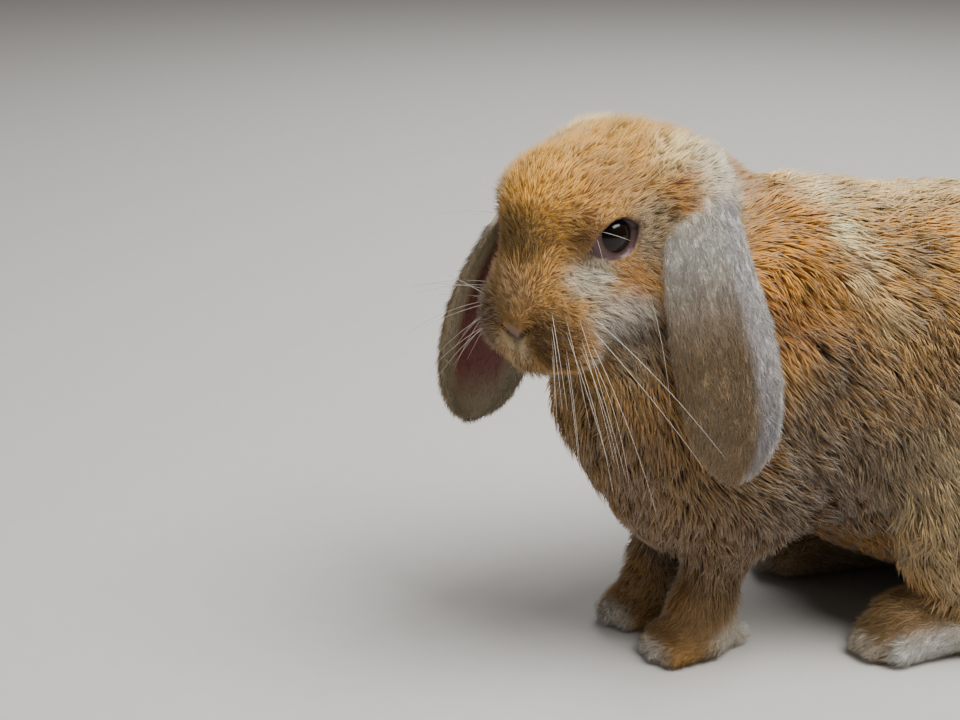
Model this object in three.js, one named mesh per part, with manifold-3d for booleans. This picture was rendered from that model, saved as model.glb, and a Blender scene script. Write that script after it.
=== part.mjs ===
// A lop-eared rabbit standing still, life size: closed solids whose surface is the outer reach of its coat.
// Millimetres. The shaping frame has x to the rabbit's left, y to its tail, z up, and its origin on the floor
// between the front feet. The last step moves everything so that the origin is the middle of the footprint.
import * as THREE from 'three';
import { mergeVertices } from 'three/addons/utils/BufferGeometryUtils.js';
import Module from 'manifold-3d';

const wasm = await Module();
wasm.setup();

const GAP = 0.35;             // space left between neighbouring solids
const EAR_CLEARANCE = 0.8;    // space left between an ear and the coat it hangs on
const LEFT = 1;
const RIGHT = -1;

// Widths of the grid cells that each form is sampled on, along x, y and z. A pair is the width at the low end
// and at the high end, with the cells between growing evenly.
const BODY_CELLS = [16, 21, 16];
const HEAD_CELLS = [7.2, [5.7, 13], [6.3, 11]];
const LEG_CELLS = [12.5, 12.5, 13];
const FOREFOOT_CELLS = [5.8, [5.8, 11], 7.5];
const HINDFOOT_CELLS = [6.2, [6, 20], 8.5];

const rad = THREE.MathUtils.degToRad;
const smooth = THREE.MathUtils.smoothstep;
const mix = THREE.MathUtils.lerp;

// ------------------------------------------------- forms: functions of x, y, z that are negative inside

// An ellipsoid of three half sizes, turned by roll about y, then tilt about x, then yaw about z, in degrees.
function ball(at, half, { tilt = 0, yaw = 0, roll = 0 } = {}) {
  const turn = new THREE.Euler(rad(tilt), rad(roll), rad(yaw), 'ZXY');
  const e = new THREE.Matrix4().makeRotationFromEuler(turn).elements;
  const [a, b, c] = half;
  return (x, y, z) => {
    const dx = x - at[0];
    const dy = y - at[1];
    const dz = z - at[2];
    const u = (e[0] * dx + e[1] * dy + e[2] * dz) / a;
    const v = (e[4] * dx + e[5] * dy + e[6] * dz) / b;
    const w = (e[8] * dx + e[9] * dy + e[10] * dz) / c;
    const near = Math.hypot(u, v, w);
    return (near * (near - 1)) / Math.max(Math.hypot(u / a, v / b, w / c), 1e-9);
  };
}

// A rod with round ends from point a to point b, its radius going from ra to rb.
function rod(a, b, ra, rb) {
  const d = [b[0] - a[0], b[1] - a[1], b[2] - a[2]];
  const square = d[0] * d[0] + d[1] * d[1] + d[2] * d[2];
  return (x, y, z) => {
    const p = [x - a[0], y - a[1], z - a[2]];
    const along = (p[0] * d[0] + p[1] * d[1] + p[2] * d[2]) / square;
    const t = Math.min(Math.max(along, 0), 1);
    return Math.hypot(p[0] - t * d[0], p[1] - t * d[1], p[2] - t * d[2]) - mix(ra, rb, t);
  };
}

// The union of forms, with a fillet about k wide where they meet.
function blend(k, ...forms) {
  return (x, y, z) => {
    let out = forms[0](x, y, z);
    for (let i = 1; i < forms.length; i++) {
      const next = forms[i](x, y, z);
      const h = Math.max(k - Math.abs(out - next), 0) / k;
      out = Math.min(out, next) - (h * h * k) / 4;
    }
    return out;
  };
}

const bothSides = (form) => (x, y, z) => form(Math.abs(x), y, z);

// ---------------------------------------------------------------- head

const HEAD_AT = [5, -40, 176];   // middle of the head, at the height of the eyes
const HEAD_YAW = 20;             // the face is turned to the rabbit's left
const EYE_AT = [19, -1.8, 1.4];  // centre of the left globe in the head's frame
const EYE_RADIUS = 8.5;
const LIDS_OUT = [13, -0.5, -0.3];   // from the globe's centre to the middle of the dish between the lids
const LIDS_HALF = [9, 11.2, 8.2];
const LIDS_SLANT = 36;

const yawCos = Math.cos(rad(HEAD_YAW));
const yawSin = Math.sin(rad(HEAD_YAW));

// A form given in the head's own frame, as a form of the body's frame.
const onHead = (form) => (x, y, z) => {
  const dx = x - HEAD_AT[0];
  const dy = y - HEAD_AT[1];
  return form(yawCos * dx + yawSin * dy, yawCos * dy - yawSin * dx, z - HEAD_AT[2]);
};

// A point given in the head's own frame, in the body's frame.
function fromHead([x, y, z]) {
  const bodyX = HEAD_AT[0] + yawCos * x - yawSin * y;
  const bodyY = HEAD_AT[1] + yawSin * x + yawCos * y;
  return new THREE.Vector3(bodyX, bodyY, HEAD_AT[2] + z);
}

function skull() {
  const cranium = ball([0, 24, 7], [30.5, 35, 30.5]);
  const forehead = ball([0, -6, 10], [24, 24, 22.5]);
  const nape = ball([0, 50, 2], [27, 26, 26]);
  const earBase = bothSides(ball([24, 30, 16], [16, 19, 17]));
  const brow = bothSides(ball([16, -5, 12], [9, 13, 8], { yaw: 8 }));
  return blend(12, blend(14, cranium, forehead, nape, earBase), brow);
}

function muzzle() {
  const bridge = ball([0, -14.5, -13], [20.5, 17, 25], { tilt: -20 });
  const cheek = bothSides(ball([14, 4, -22], [18, 25, 22]));
  const whiskerPad = bothSides(ball([13.5, -16, -30], [15.5, 13.5, 15]));
  const upperLip = bothSides(ball([12.5, -14.5, -38], [15.5, 14, 12]));
  const nose = ball([0, -17.5, -32], [9, 8, 10]);
  const chin = ball([0, -16, -45], [12, 11, 9]);
  const jaw = ball([0, 8, -37], [21, 25, 16]);
  return blend(6, blend(9, blend(10, bridge, cheek), jaw), whiskerPad, upperLip, nose, chin);
}

const headForm = onHead(blend(9, skull(), muzzle()));

// ---------------------------------------------------------------- body

function trunkForm() {
  const shoulders = ball([0, 40, 121], [42, 50, 66], { tilt: -10 });
  const ribs = ball([0, 95, 106], [58, 74, 74]);
  const rump = ball([0, 140, 88], [64, 62, 80]);
  const chest = ball([0, 2, 88], [37, 33.5, 50], { tilt: 20 });
  const throat = ball([0, -11, 114], [32, 33, 32], { tilt: 15 });
  const neck = rod([0, 28, 140], [3, 0, 160], 38, 33);
  const upperArm = bothSides(ball([25, 30, 90], [21, 33, 40]));
  return blend(18, blend(24, blend(22, blend(30, shoulders, ribs, rump), chest, throat), neck), upperArm);
}

const thighForm = bothSides(ball([44, 128, 62], [27, 50, 52], { tilt: -15 }));

const TAIL_AT = [0, 200, 66];
const TAIL_HALF = [17, 15, 25];
const tailForm = ball(TAIL_AT, TAIL_HALF, { tilt: 14 });

// ---------------------------------------------------------------- legs and feet

const FORE_AT = { [LEFT]: [14, 2], [RIGHT]: [-20, -2] };   // middle of each front foot on the floor
const FORE_TOES = [-9.5, -3.4, 3.2, 9.2];                  // sideways place of each toe
const FORE_REACH = [-8, -13.5, -13.5, -9.5];               // how far forward each toe goes
const FORE_TOE_RADIUS = 6.2;

function forelegForm(side) {
  const [x, y] = FORE_AT[side];
  const arm = rod([x, y + 24, 75], [x, y + 13, 22], 21, 13);
  const wrist = rod([x, y + 12, 22], [x, y + 6, 11], 13, 11);
  const toes = FORE_TOES.map((dx, i) =>
    rod([x + 0.6 * dx, y + 12, 9], [x + dx, y + FORE_REACH[i] + 6, 5], 8, FORE_TOE_RADIUS));
  const heel = rod([x, y + 14, 7], [x, y + 27, 5], 9, 6.5);
  return blend(9, blend(3, ...toes), heel, wrist, arm);
}

const HIND_AT = [43, 66];                                  // front of the left hind foot on the floor
const HIND_YAW = 5;                                        // the toes point a little outwards
const HIND_TOES = [-10, -3.4, 3.4, 10];
const HIND_REACH = [6, 0, 1, 7];
const HIND_TOE_RADIUS = 7;

// A point of the hind foot, given by its distance sideways and backwards from the toes, on one side.
function hindPoint(side, across, back, height) {
  const c = Math.cos(rad(HIND_YAW));
  const s = Math.sin(rad(HIND_YAW));
  return [side * (HIND_AT[0] + c * across - s * back), HIND_AT[1] + s * across + c * back, height];
}

function hindfootForm(side) {
  const sole = rod(hindPoint(side, 0, 22, 12), hindPoint(side, 0, 84, 12), 15, 17);
  const hock = ball(hindPoint(side, 1, 54, 12), [23, 36, 15]);
  const toes = HIND_TOES.map((dx, i) =>
    rod(hindPoint(side, 0.7 * dx, 30, 9), hindPoint(side, dx, HIND_REACH[i] + 7, 5.8), 10, HIND_TOE_RADIUS));
  return blend(7, blend(3, ...toes), sole, hock);
}

const bodyForm = blend(10, blend(16, trunkForm(), headForm), thighForm, tailForm);
const wholeForm = blend(9, blend(12, bodyForm, forelegForm(LEFT), forelegForm(RIGHT)),
  hindfootForm(LEFT), hindfootForm(RIGHT));

// ---------------------------------------------------------------- from a form to a closed mesh

// The surface where the form is zero, closed off at the sides of a box: one vertex in each grid cell that the
// surface passes, moved on to the surface itself, and four such cells joined round each grid edge it crosses.
function surfaceOf(form, low, high, cells) {
  const lines = cells.map((width, axis) => gridLines(low[axis], high[axis], width));
  const n = lines.map((line) => line.length);
  const at = (i, j, k) => (i * n[1] + j) * n[2] + k;
  const onRim = (...cell) => cell.some((v, axis) => v === 0 || v >= n[axis] - 1);
  const value = new Float64Array(n[0] * n[1] * n[2]);
  for (let i = 0; i < n[0]; i++)
    for (let j = 0; j < n[1]; j++)
      for (let k = 0; k < n[2]; k++)
        value[at(i, j, k)] = onRim(i, j, k) ? 1 : form(lines[0][i], lines[1][j], lines[2][k]);
  const spot = [];
  const index = new Int32Array(value.length).fill(-1);
  for (let i = 0; i < n[0] - 1; i++)
    for (let j = 0; j < n[1] - 1; j++)
      for (let k = 0; k < n[2] - 1; k++) {
        const middle = crossingMiddle(value, at, i, j, k);
        if (!middle) continue;
        index[at(i, j, k)] = spot.length / 3;
        const cell = [i, j, k];
        const width = lines.map((line, axis) => line[cell[axis] + 1] - line[cell[axis]]);
        const point = middle.map((share, axis) => lines[axis][cell[axis]] + share * width[axis]);
        const closing = onRim(i, j, k) || onRim(i + 1, j + 1, k + 1);
        spot.push(...(closing ? point : settle(form, point, Math.min(...width))));
      }
  const faces = [];
  const stride = [n[1] * n[2], n[2], 1];
  for (let axis = 0; axis < 3; axis++) {
    const one = stride[(axis + 1) % 3];
    const two = stride[(axis + 2) % 3];
    const first = [0, 1, 2].map((m) => (m === axis ? 0 : 1));
    for (let i = first[0]; i < n[0] - 1; i++)
      for (let j = first[1]; j < n[1] - 1; j++)
        for (let k = first[2]; k < n[2] - 1; k++) {
          const here = at(i, j, k);
          const inside = value[here] < 0;
          if (inside === value[here + stride[axis]] < 0) continue;
          const ring = [here - one - two, here - two, here, here - one].map((cell) => index[cell]);
          if (!inside) ring.reverse();
          faces.push(ring[0], ring[1], ring[2], ring[0], ring[2], ring[3]);
        }
  }
  return solidFrom(spot, faces);
}

// Places from low to high, about a given width apart, or going evenly from one width to another.
function gridLines(low, high, width) {
  const [first, last] = Array.isArray(width) ? width : [width, width];
  const count = Math.max(3, Math.round((2 * (high - low)) / (first + last)));
  const lean = (last - first) / (last + first);
  return Array.from({ length: count + 1 }, (_, i) => {
    const t = i / count;
    return low + (high - low) * (t - lean * t * (1 - t));
  });
}

// The mean of the points where the form changes sign along the edges of one grid cell, as shares of the
// cell's width, or nothing where it keeps its sign.
function crossingMiddle(value, at, i, j, k) {
  const sum = [0, 0, 0];
  let count = 0;
  for (let corner = 0; corner < 8; corner++) {
    const from = [corner & 1, (corner >> 1) & 1, (corner >> 2) & 1];
    for (let axis = 0; axis < 3; axis++) {
      if (from[axis]) continue;
      const to = [...from];
      to[axis] = 1;
      const a = value[at(i + from[0], j + from[1], k + from[2])];
      const b = value[at(i + to[0], j + to[1], k + to[2])];
      if (a < 0 === b < 0) continue;
      const t = a / (a - b);
      for (let m = 0; m < 3; m++) sum[m] += from[m] + (m === axis ? t : 0);
      count++;
    }
  }
  return count ? sum.map((v) => v / count) : null;
}

// A point moved along the form's slope on to its surface, in steps of no more than a third of a grid cell.
function settle(form, point, step) {
  const at = [...point];
  const e = 0.02 * step;
  for (let turn = 0; turn < 4; turn++) {
    const [x, y, z] = at;
    const slope = new THREE.Vector3(
      form(x + e, y, z) - form(x - e, y, z),
      form(x, y + e, z) - form(x, y - e, z),
      form(x, y, z + e) - form(x, y, z - e)).divideScalar(2 * e);
    const reach = -form(x, y, z) / Math.max(slope.length(), 0.2);
    const move = slope.normalize().multiplyScalar(THREE.MathUtils.clamp(reach, -step / 3, step / 3));
    at.forEach((v, axis) => { at[axis] = v + move.getComponent(axis); });
  }
  return at;
}

function solidFrom(vertices, faces) {
  return new wasm.Manifold(new wasm.Mesh({
    numProp: 3, vertProperties: new Float32Array(vertices), triVerts: new Uint32Array(faces) }));
}

// A three.js geometry as a solid for joining and cutting.
function solidOf(geometry) {
  const bare = geometry.clone();
  bare.deleteAttribute('normal');
  bare.deleteAttribute('uv');
  const merged = mergeVertices(bare, 1e-4);
  return solidFrom(merged.attributes.position.array, merged.index.array);
}

const largest = (solid) => solid.decompose().sort((a, b) => b.volume() - a.volume())[0];

function box(low, high) {
  const size = low.map((v, i) => high[i] - v);
  const geometry = new THREE.BoxGeometry(...size);
  return solidOf(geometry.translate(...low.map((v, i) => v + size[i] / 2)));
}

// A big block whose one face passes through a point, lying on the side that the direction points to.
function halfSpace(point, direction, size = 600) {
  const out = new THREE.Vector3(...direction).normalize();
  const geometry = new THREE.BoxGeometry(size, size, size).translate(0, 0, size / 2);
  geometry.applyQuaternion(new THREE.Quaternion().setFromUnitVectors(new THREE.Vector3(0, 0, 1), out));
  return solidOf(geometry.translate(...point));
}

function globe(at, half, grow, detail) {
  const geometry = new THREE.IcosahedronGeometry(1, detail);
  geometry.scale(...half.map((v) => v + grow));
  return solidOf(geometry.translate(...at));
}

// ---------------------------------------------------------------- ears

// Each ear is a long leaf hung on a curve, given in the head's frame for the left ear, or mirrored for the
// right one. Its sheet is bent round the curve, its round side out, and closed by the thickness of the coat.
const EARS = {
  [LEFT]: {
    line: [[26, 29, 12], [37.5, 26, 7], [45, 24, -14], [52, 28, -42], [57, 31, -68], [57, 28.5, -90]],
    outward: [0.87, -0.46, 0.05],
    halfWidth: 24,
    curl: 34,
  },
  [RIGHT]: {
    line: [[24, 27, 18], [33, 23, 12], [39.5, 10, -12], [45.5, -2, -40], [47.5, -6, -62], [47, -9, -87]],
    outward: [1, 0.25, 0.05],
    halfWidth: 23.5,
    curl: 46,
  },
};
const EAR_THICKNESS = 6.5;
const EAR_RINGS = 12;
const EAR_POINTS = 12;

// Half the width of the leaf at a share s of its length: narrow at the root, round at the tip.
function earHalfWidth(s, widest) {
  const tipStart = 0.64;
  const tip = Math.max(0, s - tipStart) / (1 - tipStart);
  return widest * mix(0.82, 1, smooth(s, 0, tipStart)) * Math.sqrt(Math.max(1 - tip ** 2.5, 0.004));
}

function earGeometry(side) {
  const ear = EARS[side];
  const line = new THREE.CatmullRomCurve3(ear.line.map(([x, y, z]) => fromHead([side * x, y, z])));
  const top = fromHead([0, 0, 0]);
  const outward = fromHead([side * ear.outward[0], ear.outward[1], ear.outward[2]]).sub(top).normalize();
  const spot = [];
  for (let ring = 0; ring < EAR_RINGS; ring++) {
    const s = Math.sin((ring / (EAR_RINGS - 1)) * Math.PI / 2) ** 1.15;
    const centre = line.getPointAt(s);
    const along = line.getTangentAt(s);
    const out = outward.clone().addScaledVector(along, -outward.dot(along)).normalize();
    const across = new THREE.Vector3().crossVectors(along, out);
    const halfWidth = earHalfWidth(s, ear.halfWidth);
    const halfAngle = rad(mix(64, ear.curl, smooth(s, 0, 0.35)));
    const bend = halfWidth / halfAngle;
    const thickness = mix(EAR_THICKNESS, 0.72 * EAR_THICKNESS, s) * (s > 0.985 ? 0.6 : 1);
    for (let i = 0; i < EAR_POINTS; i++) {
      const turn = (i / EAR_POINTS) * 2 * Math.PI;
      const angle = halfAngle * Math.cos(turn);
      const radius = bend + (thickness / 2) * Math.sin(turn);
      const point = centre.clone()
        .addScaledVector(across, radius * Math.sin(angle))
        .addScaledVector(out, radius * Math.cos(angle) - bend);
      spot.push(...point.toArray());
    }
  }
  return ringsGeometry(spot, EAR_RINGS, EAR_POINTS);
}

// A closed body from rings of points, with a fan at each end.
function ringsGeometry(spot, rings, points) {
  const faces = [];
  const at = (ring, i) => ring * points + (i % points);
  for (let ring = 0; ring < rings - 1; ring++)
    for (let i = 0; i < points; i++) {
      const [a, b, c, d] = [at(ring, i), at(ring, i + 1), at(ring + 1, i + 1), at(ring + 1, i)];
      faces.push(a, b, c, a, c, d);
    }
  for (const [ring, turn] of [[0, -1], [rings - 1, 1]]) {
    const centre = spot.length / 3;
    const mean = [0, 0, 0];
    for (let i = 0; i < points; i++)
      for (let m = 0; m < 3; m++) mean[m] += spot[3 * at(ring, i) + m] / points;
    spot.push(...mean);
    for (let i = 0; i < points; i++) {
      const edge = [at(ring, i), at(ring, i + 1)];
      if (turn < 0) edge.reverse();
      faces.push(...edge, centre);
    }
  }
  const geometry = new THREE.BufferGeometry();
  geometry.setAttribute('position', new THREE.Float32BufferAttribute(spot, 3));
  geometry.setIndex(faces);
  return geometry;
}

function outwardSolid(geometry) {
  const solid = solidOf(geometry);
  if (solid.volume() > 0) return solid;
  const index = geometry.index.array;
  for (let i = 0; i < index.length; i += 3) [index[i + 1], index[i + 2]] = [index[i + 2], index[i + 1]];
  return solidOf(geometry);
}

// ---------------------------------------------------------------- claws

const CLAW_LENGTH = 8;
const DEW_CLAW_LENGTH = 6.5;
const CLAW_RADIUS = 1.6;
const CLAW_RINGS = 3;
const CLAW_POINTS = 5;

// A bent cone from a point inside the toe, forwards and down, given by the direction it sets off in.
function claw(from, ahead, length, grow = 0) {
  const forward = new THREE.Vector3(...ahead).normalize();
  const across = new THREE.Vector3(0, 0, 1).cross(forward).normalize();
  const up = new THREE.Vector3().crossVectors(forward, across);
  const spot = [];
  for (let ring = 0; ring < CLAW_RINGS; ring++) {
    const t = ring / (CLAW_RINGS - 1);
    const radius = mix(CLAW_RADIUS, 0.35, t ** 1.3) + grow;
    const centre = new THREE.Vector3(...from)
      .addScaledVector(forward, (length + 2 * grow) * t - grow)
      .addScaledVector(up, -0.16 * length * t * t);
    for (let i = 0; i < CLAW_POINTS; i++) {
      const turn = (i / CLAW_POINTS) * 2 * Math.PI;
      const point = centre.clone()
        .addScaledVector(across, radius * 0.8 * Math.cos(turn))
        .addScaledVector(up, radius * Math.sin(turn));
      spot.push(...point.toArray());
    }
  }
  return outwardSolid(ringsGeometry(spot, CLAW_RINGS, CLAW_POINTS));
}

function clawPlaces() {
  const places = {};
  for (const [side, word] of [[LEFT, 'left'], [RIGHT, 'right']]) {
    const [x, y] = FORE_AT[side];
    const foot = `forefoot_${word}`;
    FORE_TOES.forEach((dx, i) => {
      const from = [x + dx, y + FORE_REACH[i] + 7.5, 5];
      places[`claw_fore_${word}_${i + 1}`] = { foot, from, ahead: [0.03 * dx, -1, -0.2] };
    });
    places[`claw_dew_${word}`] = {
      foot, from: [x - side * 10.5, y - 2.5, 11.5], ahead: [-side * 0.3, -1, -0.4], length: DEW_CLAW_LENGTH };
    HIND_TOES.forEach((dx, i) => {
      const from = hindPoint(side, dx, HIND_REACH[i] + 7.5, 5.4);
      const to = hindPoint(side, dx * 1.05, HIND_REACH[i] - 5, 4);
      places[`claw_hind_${word}_${i + 1}`] =
        { foot: `hindfoot_${word}`, from, ahead: to.map((v, m) => v - from[m]) };
    });
  }
  return places;
}

// ---------------------------------------------------------------- cutting the whole into its parts

// The boxes that the body's and the head's grids fill, with a cell or more to spare on every side.
const BODY_BOX = [[-104, -112, -30], [104, 252, 242]];
const HEAD_BOX = [[-66, -94, 96], [66, 84, 238]];

const THROAT = { at: [0, -6, 150], toBody: [0, 0.67, -0.74] };      // between the head and the neck
const SHOULDER = { at: [0, 12, 130], toBody: [0, 0.67, -0.74] };    // between the neck and the trunk
const FORE_SPLIT = -3;                                             // between the two forelegs
const WRIST_TOP = 23;
const HIND_TOP = 21;
const THIGH_INNER = 9;                                             // least distance from the middle plane
const THIGH_CUT = { at: [52, 126, 62], half: [46, 56, 54] };
const ARM_CUT = { at: [21, 24, 50], half: [30, 32, 30] };
const TAIL_CUT = { at: [0, 214, 66], half: [30, 26, 34] };

const floor = box([-300, -300, 0], [300, 400, 400]);

const toBody = (plane, gap = 0) =>
  halfSpace(plane.at.map((v, i) => v + plane.toBody[i] * gap), plane.toBody);
const toHead = (plane, gap = 0) =>
  halfSpace(plane.at.map((v, i) => v - plane.toBody[i] * gap), plane.toBody.map((v) => -v));

const thighTool = (side, grow) => {
  const [low, high] = side === LEFT ? [THIGH_INNER, 200] : [-200, -THIGH_INNER];
  return globe([side * THIGH_CUT.at[0], THIGH_CUT.at[1], THIGH_CUT.at[2]], THIGH_CUT.half, grow, 2)
    .intersect(box([low - grow, 0, 0], [high + grow, 300, 300]));
};

const armTool = (side, grow) => {
  const [low, high] = side === LEFT ? [FORE_SPLIT + GAP / 2, 90] : [-90, FORE_SPLIT - GAP / 2];
  return globe([side * ARM_CUT.at[0] + FORE_SPLIT, ARM_CUT.at[1], ARM_CUT.at[2]], ARM_CUT.half, grow, 2)
    .intersect(box([low - grow, -100, 0], [high + grow, 200, 200]));
};

const hindfootTool = (side, grow) => {
  const [low, high] = side === LEFT ? [16, 95] : [-95, -16];
  return box([low - grow, 50, -1], [high + grow, 164 + grow, HIND_TOP + grow]);
};

const forefootTool = (side, grow) => {
  const [low, high] = side === LEFT ? [FORE_SPLIT + GAP / 2, 50] : [-60, FORE_SPLIT - GAP / 2];
  return box([low - grow, -40, -1], [high + grow, 48 + grow, WRIST_TOP + grow]);
};

function eyeGlobe(side, grow) {
  const centre = fromHead([side * EYE_AT[0], EYE_AT[1], EYE_AT[2]]).toArray();
  return globe(centre, [EYE_RADIUS, EYE_RADIUS, EYE_RADIUS], grow, 2);
}

// The almond-shaped dish that opens the lids of one side, its long way rising towards the ear.
function lidTool(side) {
  const geometry = new THREE.SphereGeometry(1, 12, 8).scale(...LIDS_HALF).rotateX(rad(LIDS_SLANT));
  geometry.translate(side * (EYE_AT[0] + LIDS_OUT[0]), EYE_AT[1] + LIDS_OUT[1], EYE_AT[2] + LIDS_OUT[2]);
  return solidOf(geometry.rotateZ(rad(HEAD_YAW)).translate(...HEAD_AT));
}

// Two slanting slits and the cleft that runs from them down the upper lip.
function noseCuts() {
  const cuts = [LEFT, RIGHT].map((side) => {
    const slit = new THREE.SphereGeometry(1, 10, 6).scale(4.2, 5, 1.2);
    slit.rotateY(side * rad(-28)).translate(side * 4.6, -27, -33);
    return slit;
  });
  cuts.push(new THREE.SphereGeometry(1, 8, 8).scale(0.9, 4.4, 6).translate(0, -29, -41));
  cuts.push(new THREE.SphereGeometry(1, 14, 6).scale(12, 6, 0.9).translate(0, -27, -47));
  return cuts.map((geometry) => {
    geometry.rotateZ(rad(HEAD_YAW)).translate(...HEAD_AT);
    return solidOf(geometry);
  });
}

function buildSolids() {
  const parts = {};
  const body = surfaceOf(wholeForm, ...BODY_BOX, BODY_CELLS).intersect(floor);
  const head = surfaceOf(wholeForm, ...HEAD_BOX, HEAD_CELLS);

  parts.head = head.intersect(toHead(THROAT));
  parts.neck = body.intersect(toBody(THROAT, GAP)).intersect(toHead(SHOULDER, GAP));
  parts.trunk = body.intersect(toBody(SHOULDER));
  parts.tail = body.intersect(globe(TAIL_CUT.at, TAIL_CUT.half, 0, 2));
  parts.trunk = parts.trunk.subtract(globe(TAIL_CUT.at, TAIL_CUT.half, GAP, 2));
  for (const [side, word] of [[LEFT, 'left'], [RIGHT, 'right']]) {
    parts[`thigh_${word}`] = body.intersect(thighTool(side, 0)).subtract(hindfootTool(side, GAP));
    const [x, y] = FORE_AT[side];
    parts[`foreleg_${word}`] = surfaceOf(wholeForm, [x - 58, -50, 6], [x + 58, 96, 120], LEG_CELLS)
      .intersect(armTool(side, 0)).intersect(toBody(SHOULDER)).subtract(forefootTool(side, GAP));
    const foot = surfaceOf(wholeForm, [x - 28, y - 26, -9], [x + 28, y + 62, 44], FOREFOOT_CELLS);
    parts[`forefoot_${word}`] = foot.intersect(forefootTool(side, 0)).intersect(floor);
    const [inner, outer] = [6, 92].map((v) => side * v).sort((a, b) => a - b);
    parts[`hindfoot_${word}`] = surfaceOf(wholeForm, [inner, 48, -14], [outer, 196, 46], HINDFOOT_CELLS)
      .intersect(hindfootTool(side, 0)).intersect(floor);
    parts.trunk = parts.trunk.subtract(thighTool(side, GAP)).subtract(hindfootTool(side, GAP))
      .subtract(armTool(side, GAP)).subtract(forefootTool(side, GAP));
    parts[`eye_${word}`] = eyeGlobe(side, 0);
    parts.head = parts.head.subtract(eyeGlobe(side, GAP)).subtract(lidTool(side));
  }
  for (const cut of noseCuts()) parts.head = parts.head.subtract(cut);
  const clear = (x, y, z) => wholeForm(x, y, z) - EAR_CLEARANCE;
  const headWrap = surfaceOf(clear, ...HEAD_BOX, HEAD_CELLS);
  const bodyWrap = surfaceOf(clear, ...BODY_BOX, BODY_CELLS).intersect(toBody(THROAT, -EAR_CLEARANCE));
  for (const [side, word] of [[LEFT, 'left'], [RIGHT, 'right']])
    parts[`ear_${word}`] = outwardSolid(earGeometry(side)).subtract(headWrap).subtract(bodyWrap);
  for (const [name, { foot, from, ahead, length = CLAW_LENGTH }] of Object.entries(clawPlaces())) {
    parts[name] = claw(from, ahead, length);
    parts[foot] = parts[foot].subtract(claw(from, ahead, length, GAP));
  }
  for (const name of Object.keys(parts)) parts[name] = largest(parts[name]);
  return parts;
}

// ---------------------------------------------------------------- looks of each part

const COATS = {
  head: ['#b98a52', 0.9],
  neck: ['#a9845a', 0.95],
  trunk: ['#a67c4e', 0.95],
  tail: ['#b99b74', 0.95],
  ear: ['#8e7f78', 0.85],
  foreleg: ['#8f7048', 0.95],
  forefoot: ['#a98253', 0.9],
  thigh: ['#b8a485', 0.95],
  hindfoot: ['#a9835a', 0.9],
  eye: ['#120b08', 0.06],
  claw: ['#4a3d33', 0.4],
};

function meshOf(name, solid) {
  const { vertProperties, triVerts } = solid.getMesh();
  const geometry = new THREE.BufferGeometry();
  geometry.setAttribute('position', new THREE.Float32BufferAttribute(vertProperties, 3));
  geometry.setIndex(new THREE.BufferAttribute(triVerts, 1));
  const [color, roughness] = COATS[name.split('_')[0]];
  const mesh = new THREE.Mesh(geometry, new THREE.MeshStandardMaterial({ color, roughness, metalness: 0 }));
  mesh.name = name;
  return mesh;
}

function lopRabbit() {
  const group = new THREE.Group();
  for (const [name, solid] of Object.entries(buildSolids())) group.add(meshOf(name, solid));
  const bounds = new THREE.Box3().setFromObject(group);
  const middle = bounds.getCenter(new THREE.Vector3());
  for (const mesh of group.children) mesh.geometry.translate(-middle.x, -middle.y, -bounds.min.z);
  return group;
}

export default lopRabbit();
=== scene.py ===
"""A lop-eared rabbit standing still, life size: one skin, a coat of small tufts, eyes, claws and whiskers.

Shapes are worked out in millimetres in the shaping frame of the solids: x to the rabbit's left, y to its
tail, z up, with the origin on the floor between the front feet. Meshes are then put in the row's frame, in
metres.
"""
from types import SimpleNamespace

import bmesh
import bpy
import numpy as np
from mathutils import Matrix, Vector


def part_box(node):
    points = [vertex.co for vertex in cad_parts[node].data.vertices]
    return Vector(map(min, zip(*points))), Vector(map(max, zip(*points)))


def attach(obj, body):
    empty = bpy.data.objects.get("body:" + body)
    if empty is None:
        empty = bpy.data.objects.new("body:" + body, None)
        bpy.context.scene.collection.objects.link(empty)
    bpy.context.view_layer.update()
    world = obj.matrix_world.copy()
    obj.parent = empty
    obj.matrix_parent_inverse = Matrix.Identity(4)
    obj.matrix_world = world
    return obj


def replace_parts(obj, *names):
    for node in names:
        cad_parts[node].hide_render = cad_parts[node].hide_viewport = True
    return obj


MM = 0.001
LEFT, RIGHT = 1, -1
SIDES = ((LEFT, "left"), (RIGHT, "right"))
chance = np.random.default_rng(11)

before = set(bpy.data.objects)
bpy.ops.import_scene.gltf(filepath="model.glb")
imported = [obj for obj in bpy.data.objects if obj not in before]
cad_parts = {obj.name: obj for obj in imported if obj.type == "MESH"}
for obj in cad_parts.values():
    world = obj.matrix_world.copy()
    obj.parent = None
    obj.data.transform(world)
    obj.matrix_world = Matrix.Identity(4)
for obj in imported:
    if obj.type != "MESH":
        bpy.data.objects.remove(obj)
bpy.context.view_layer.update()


# ------------------------------------------------------------------ small helpers on arrays of points

def length(v):
    """Length of each row of v."""
    return np.sqrt((v * v).sum(-1))


def unit(v):
    """Each row of v scaled to length one."""
    return v / np.maximum(length(v), 1e-9)[..., None]


def ramp(v, low, high):
    """0 below low, 1 above high, and a smooth rise between."""
    t = np.clip((v - low) / (high - low), 0.0, 1.0)
    return t * t * (3 - 2 * t)


def mix(a, b, t):
    return a + (b - a) * t


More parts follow.
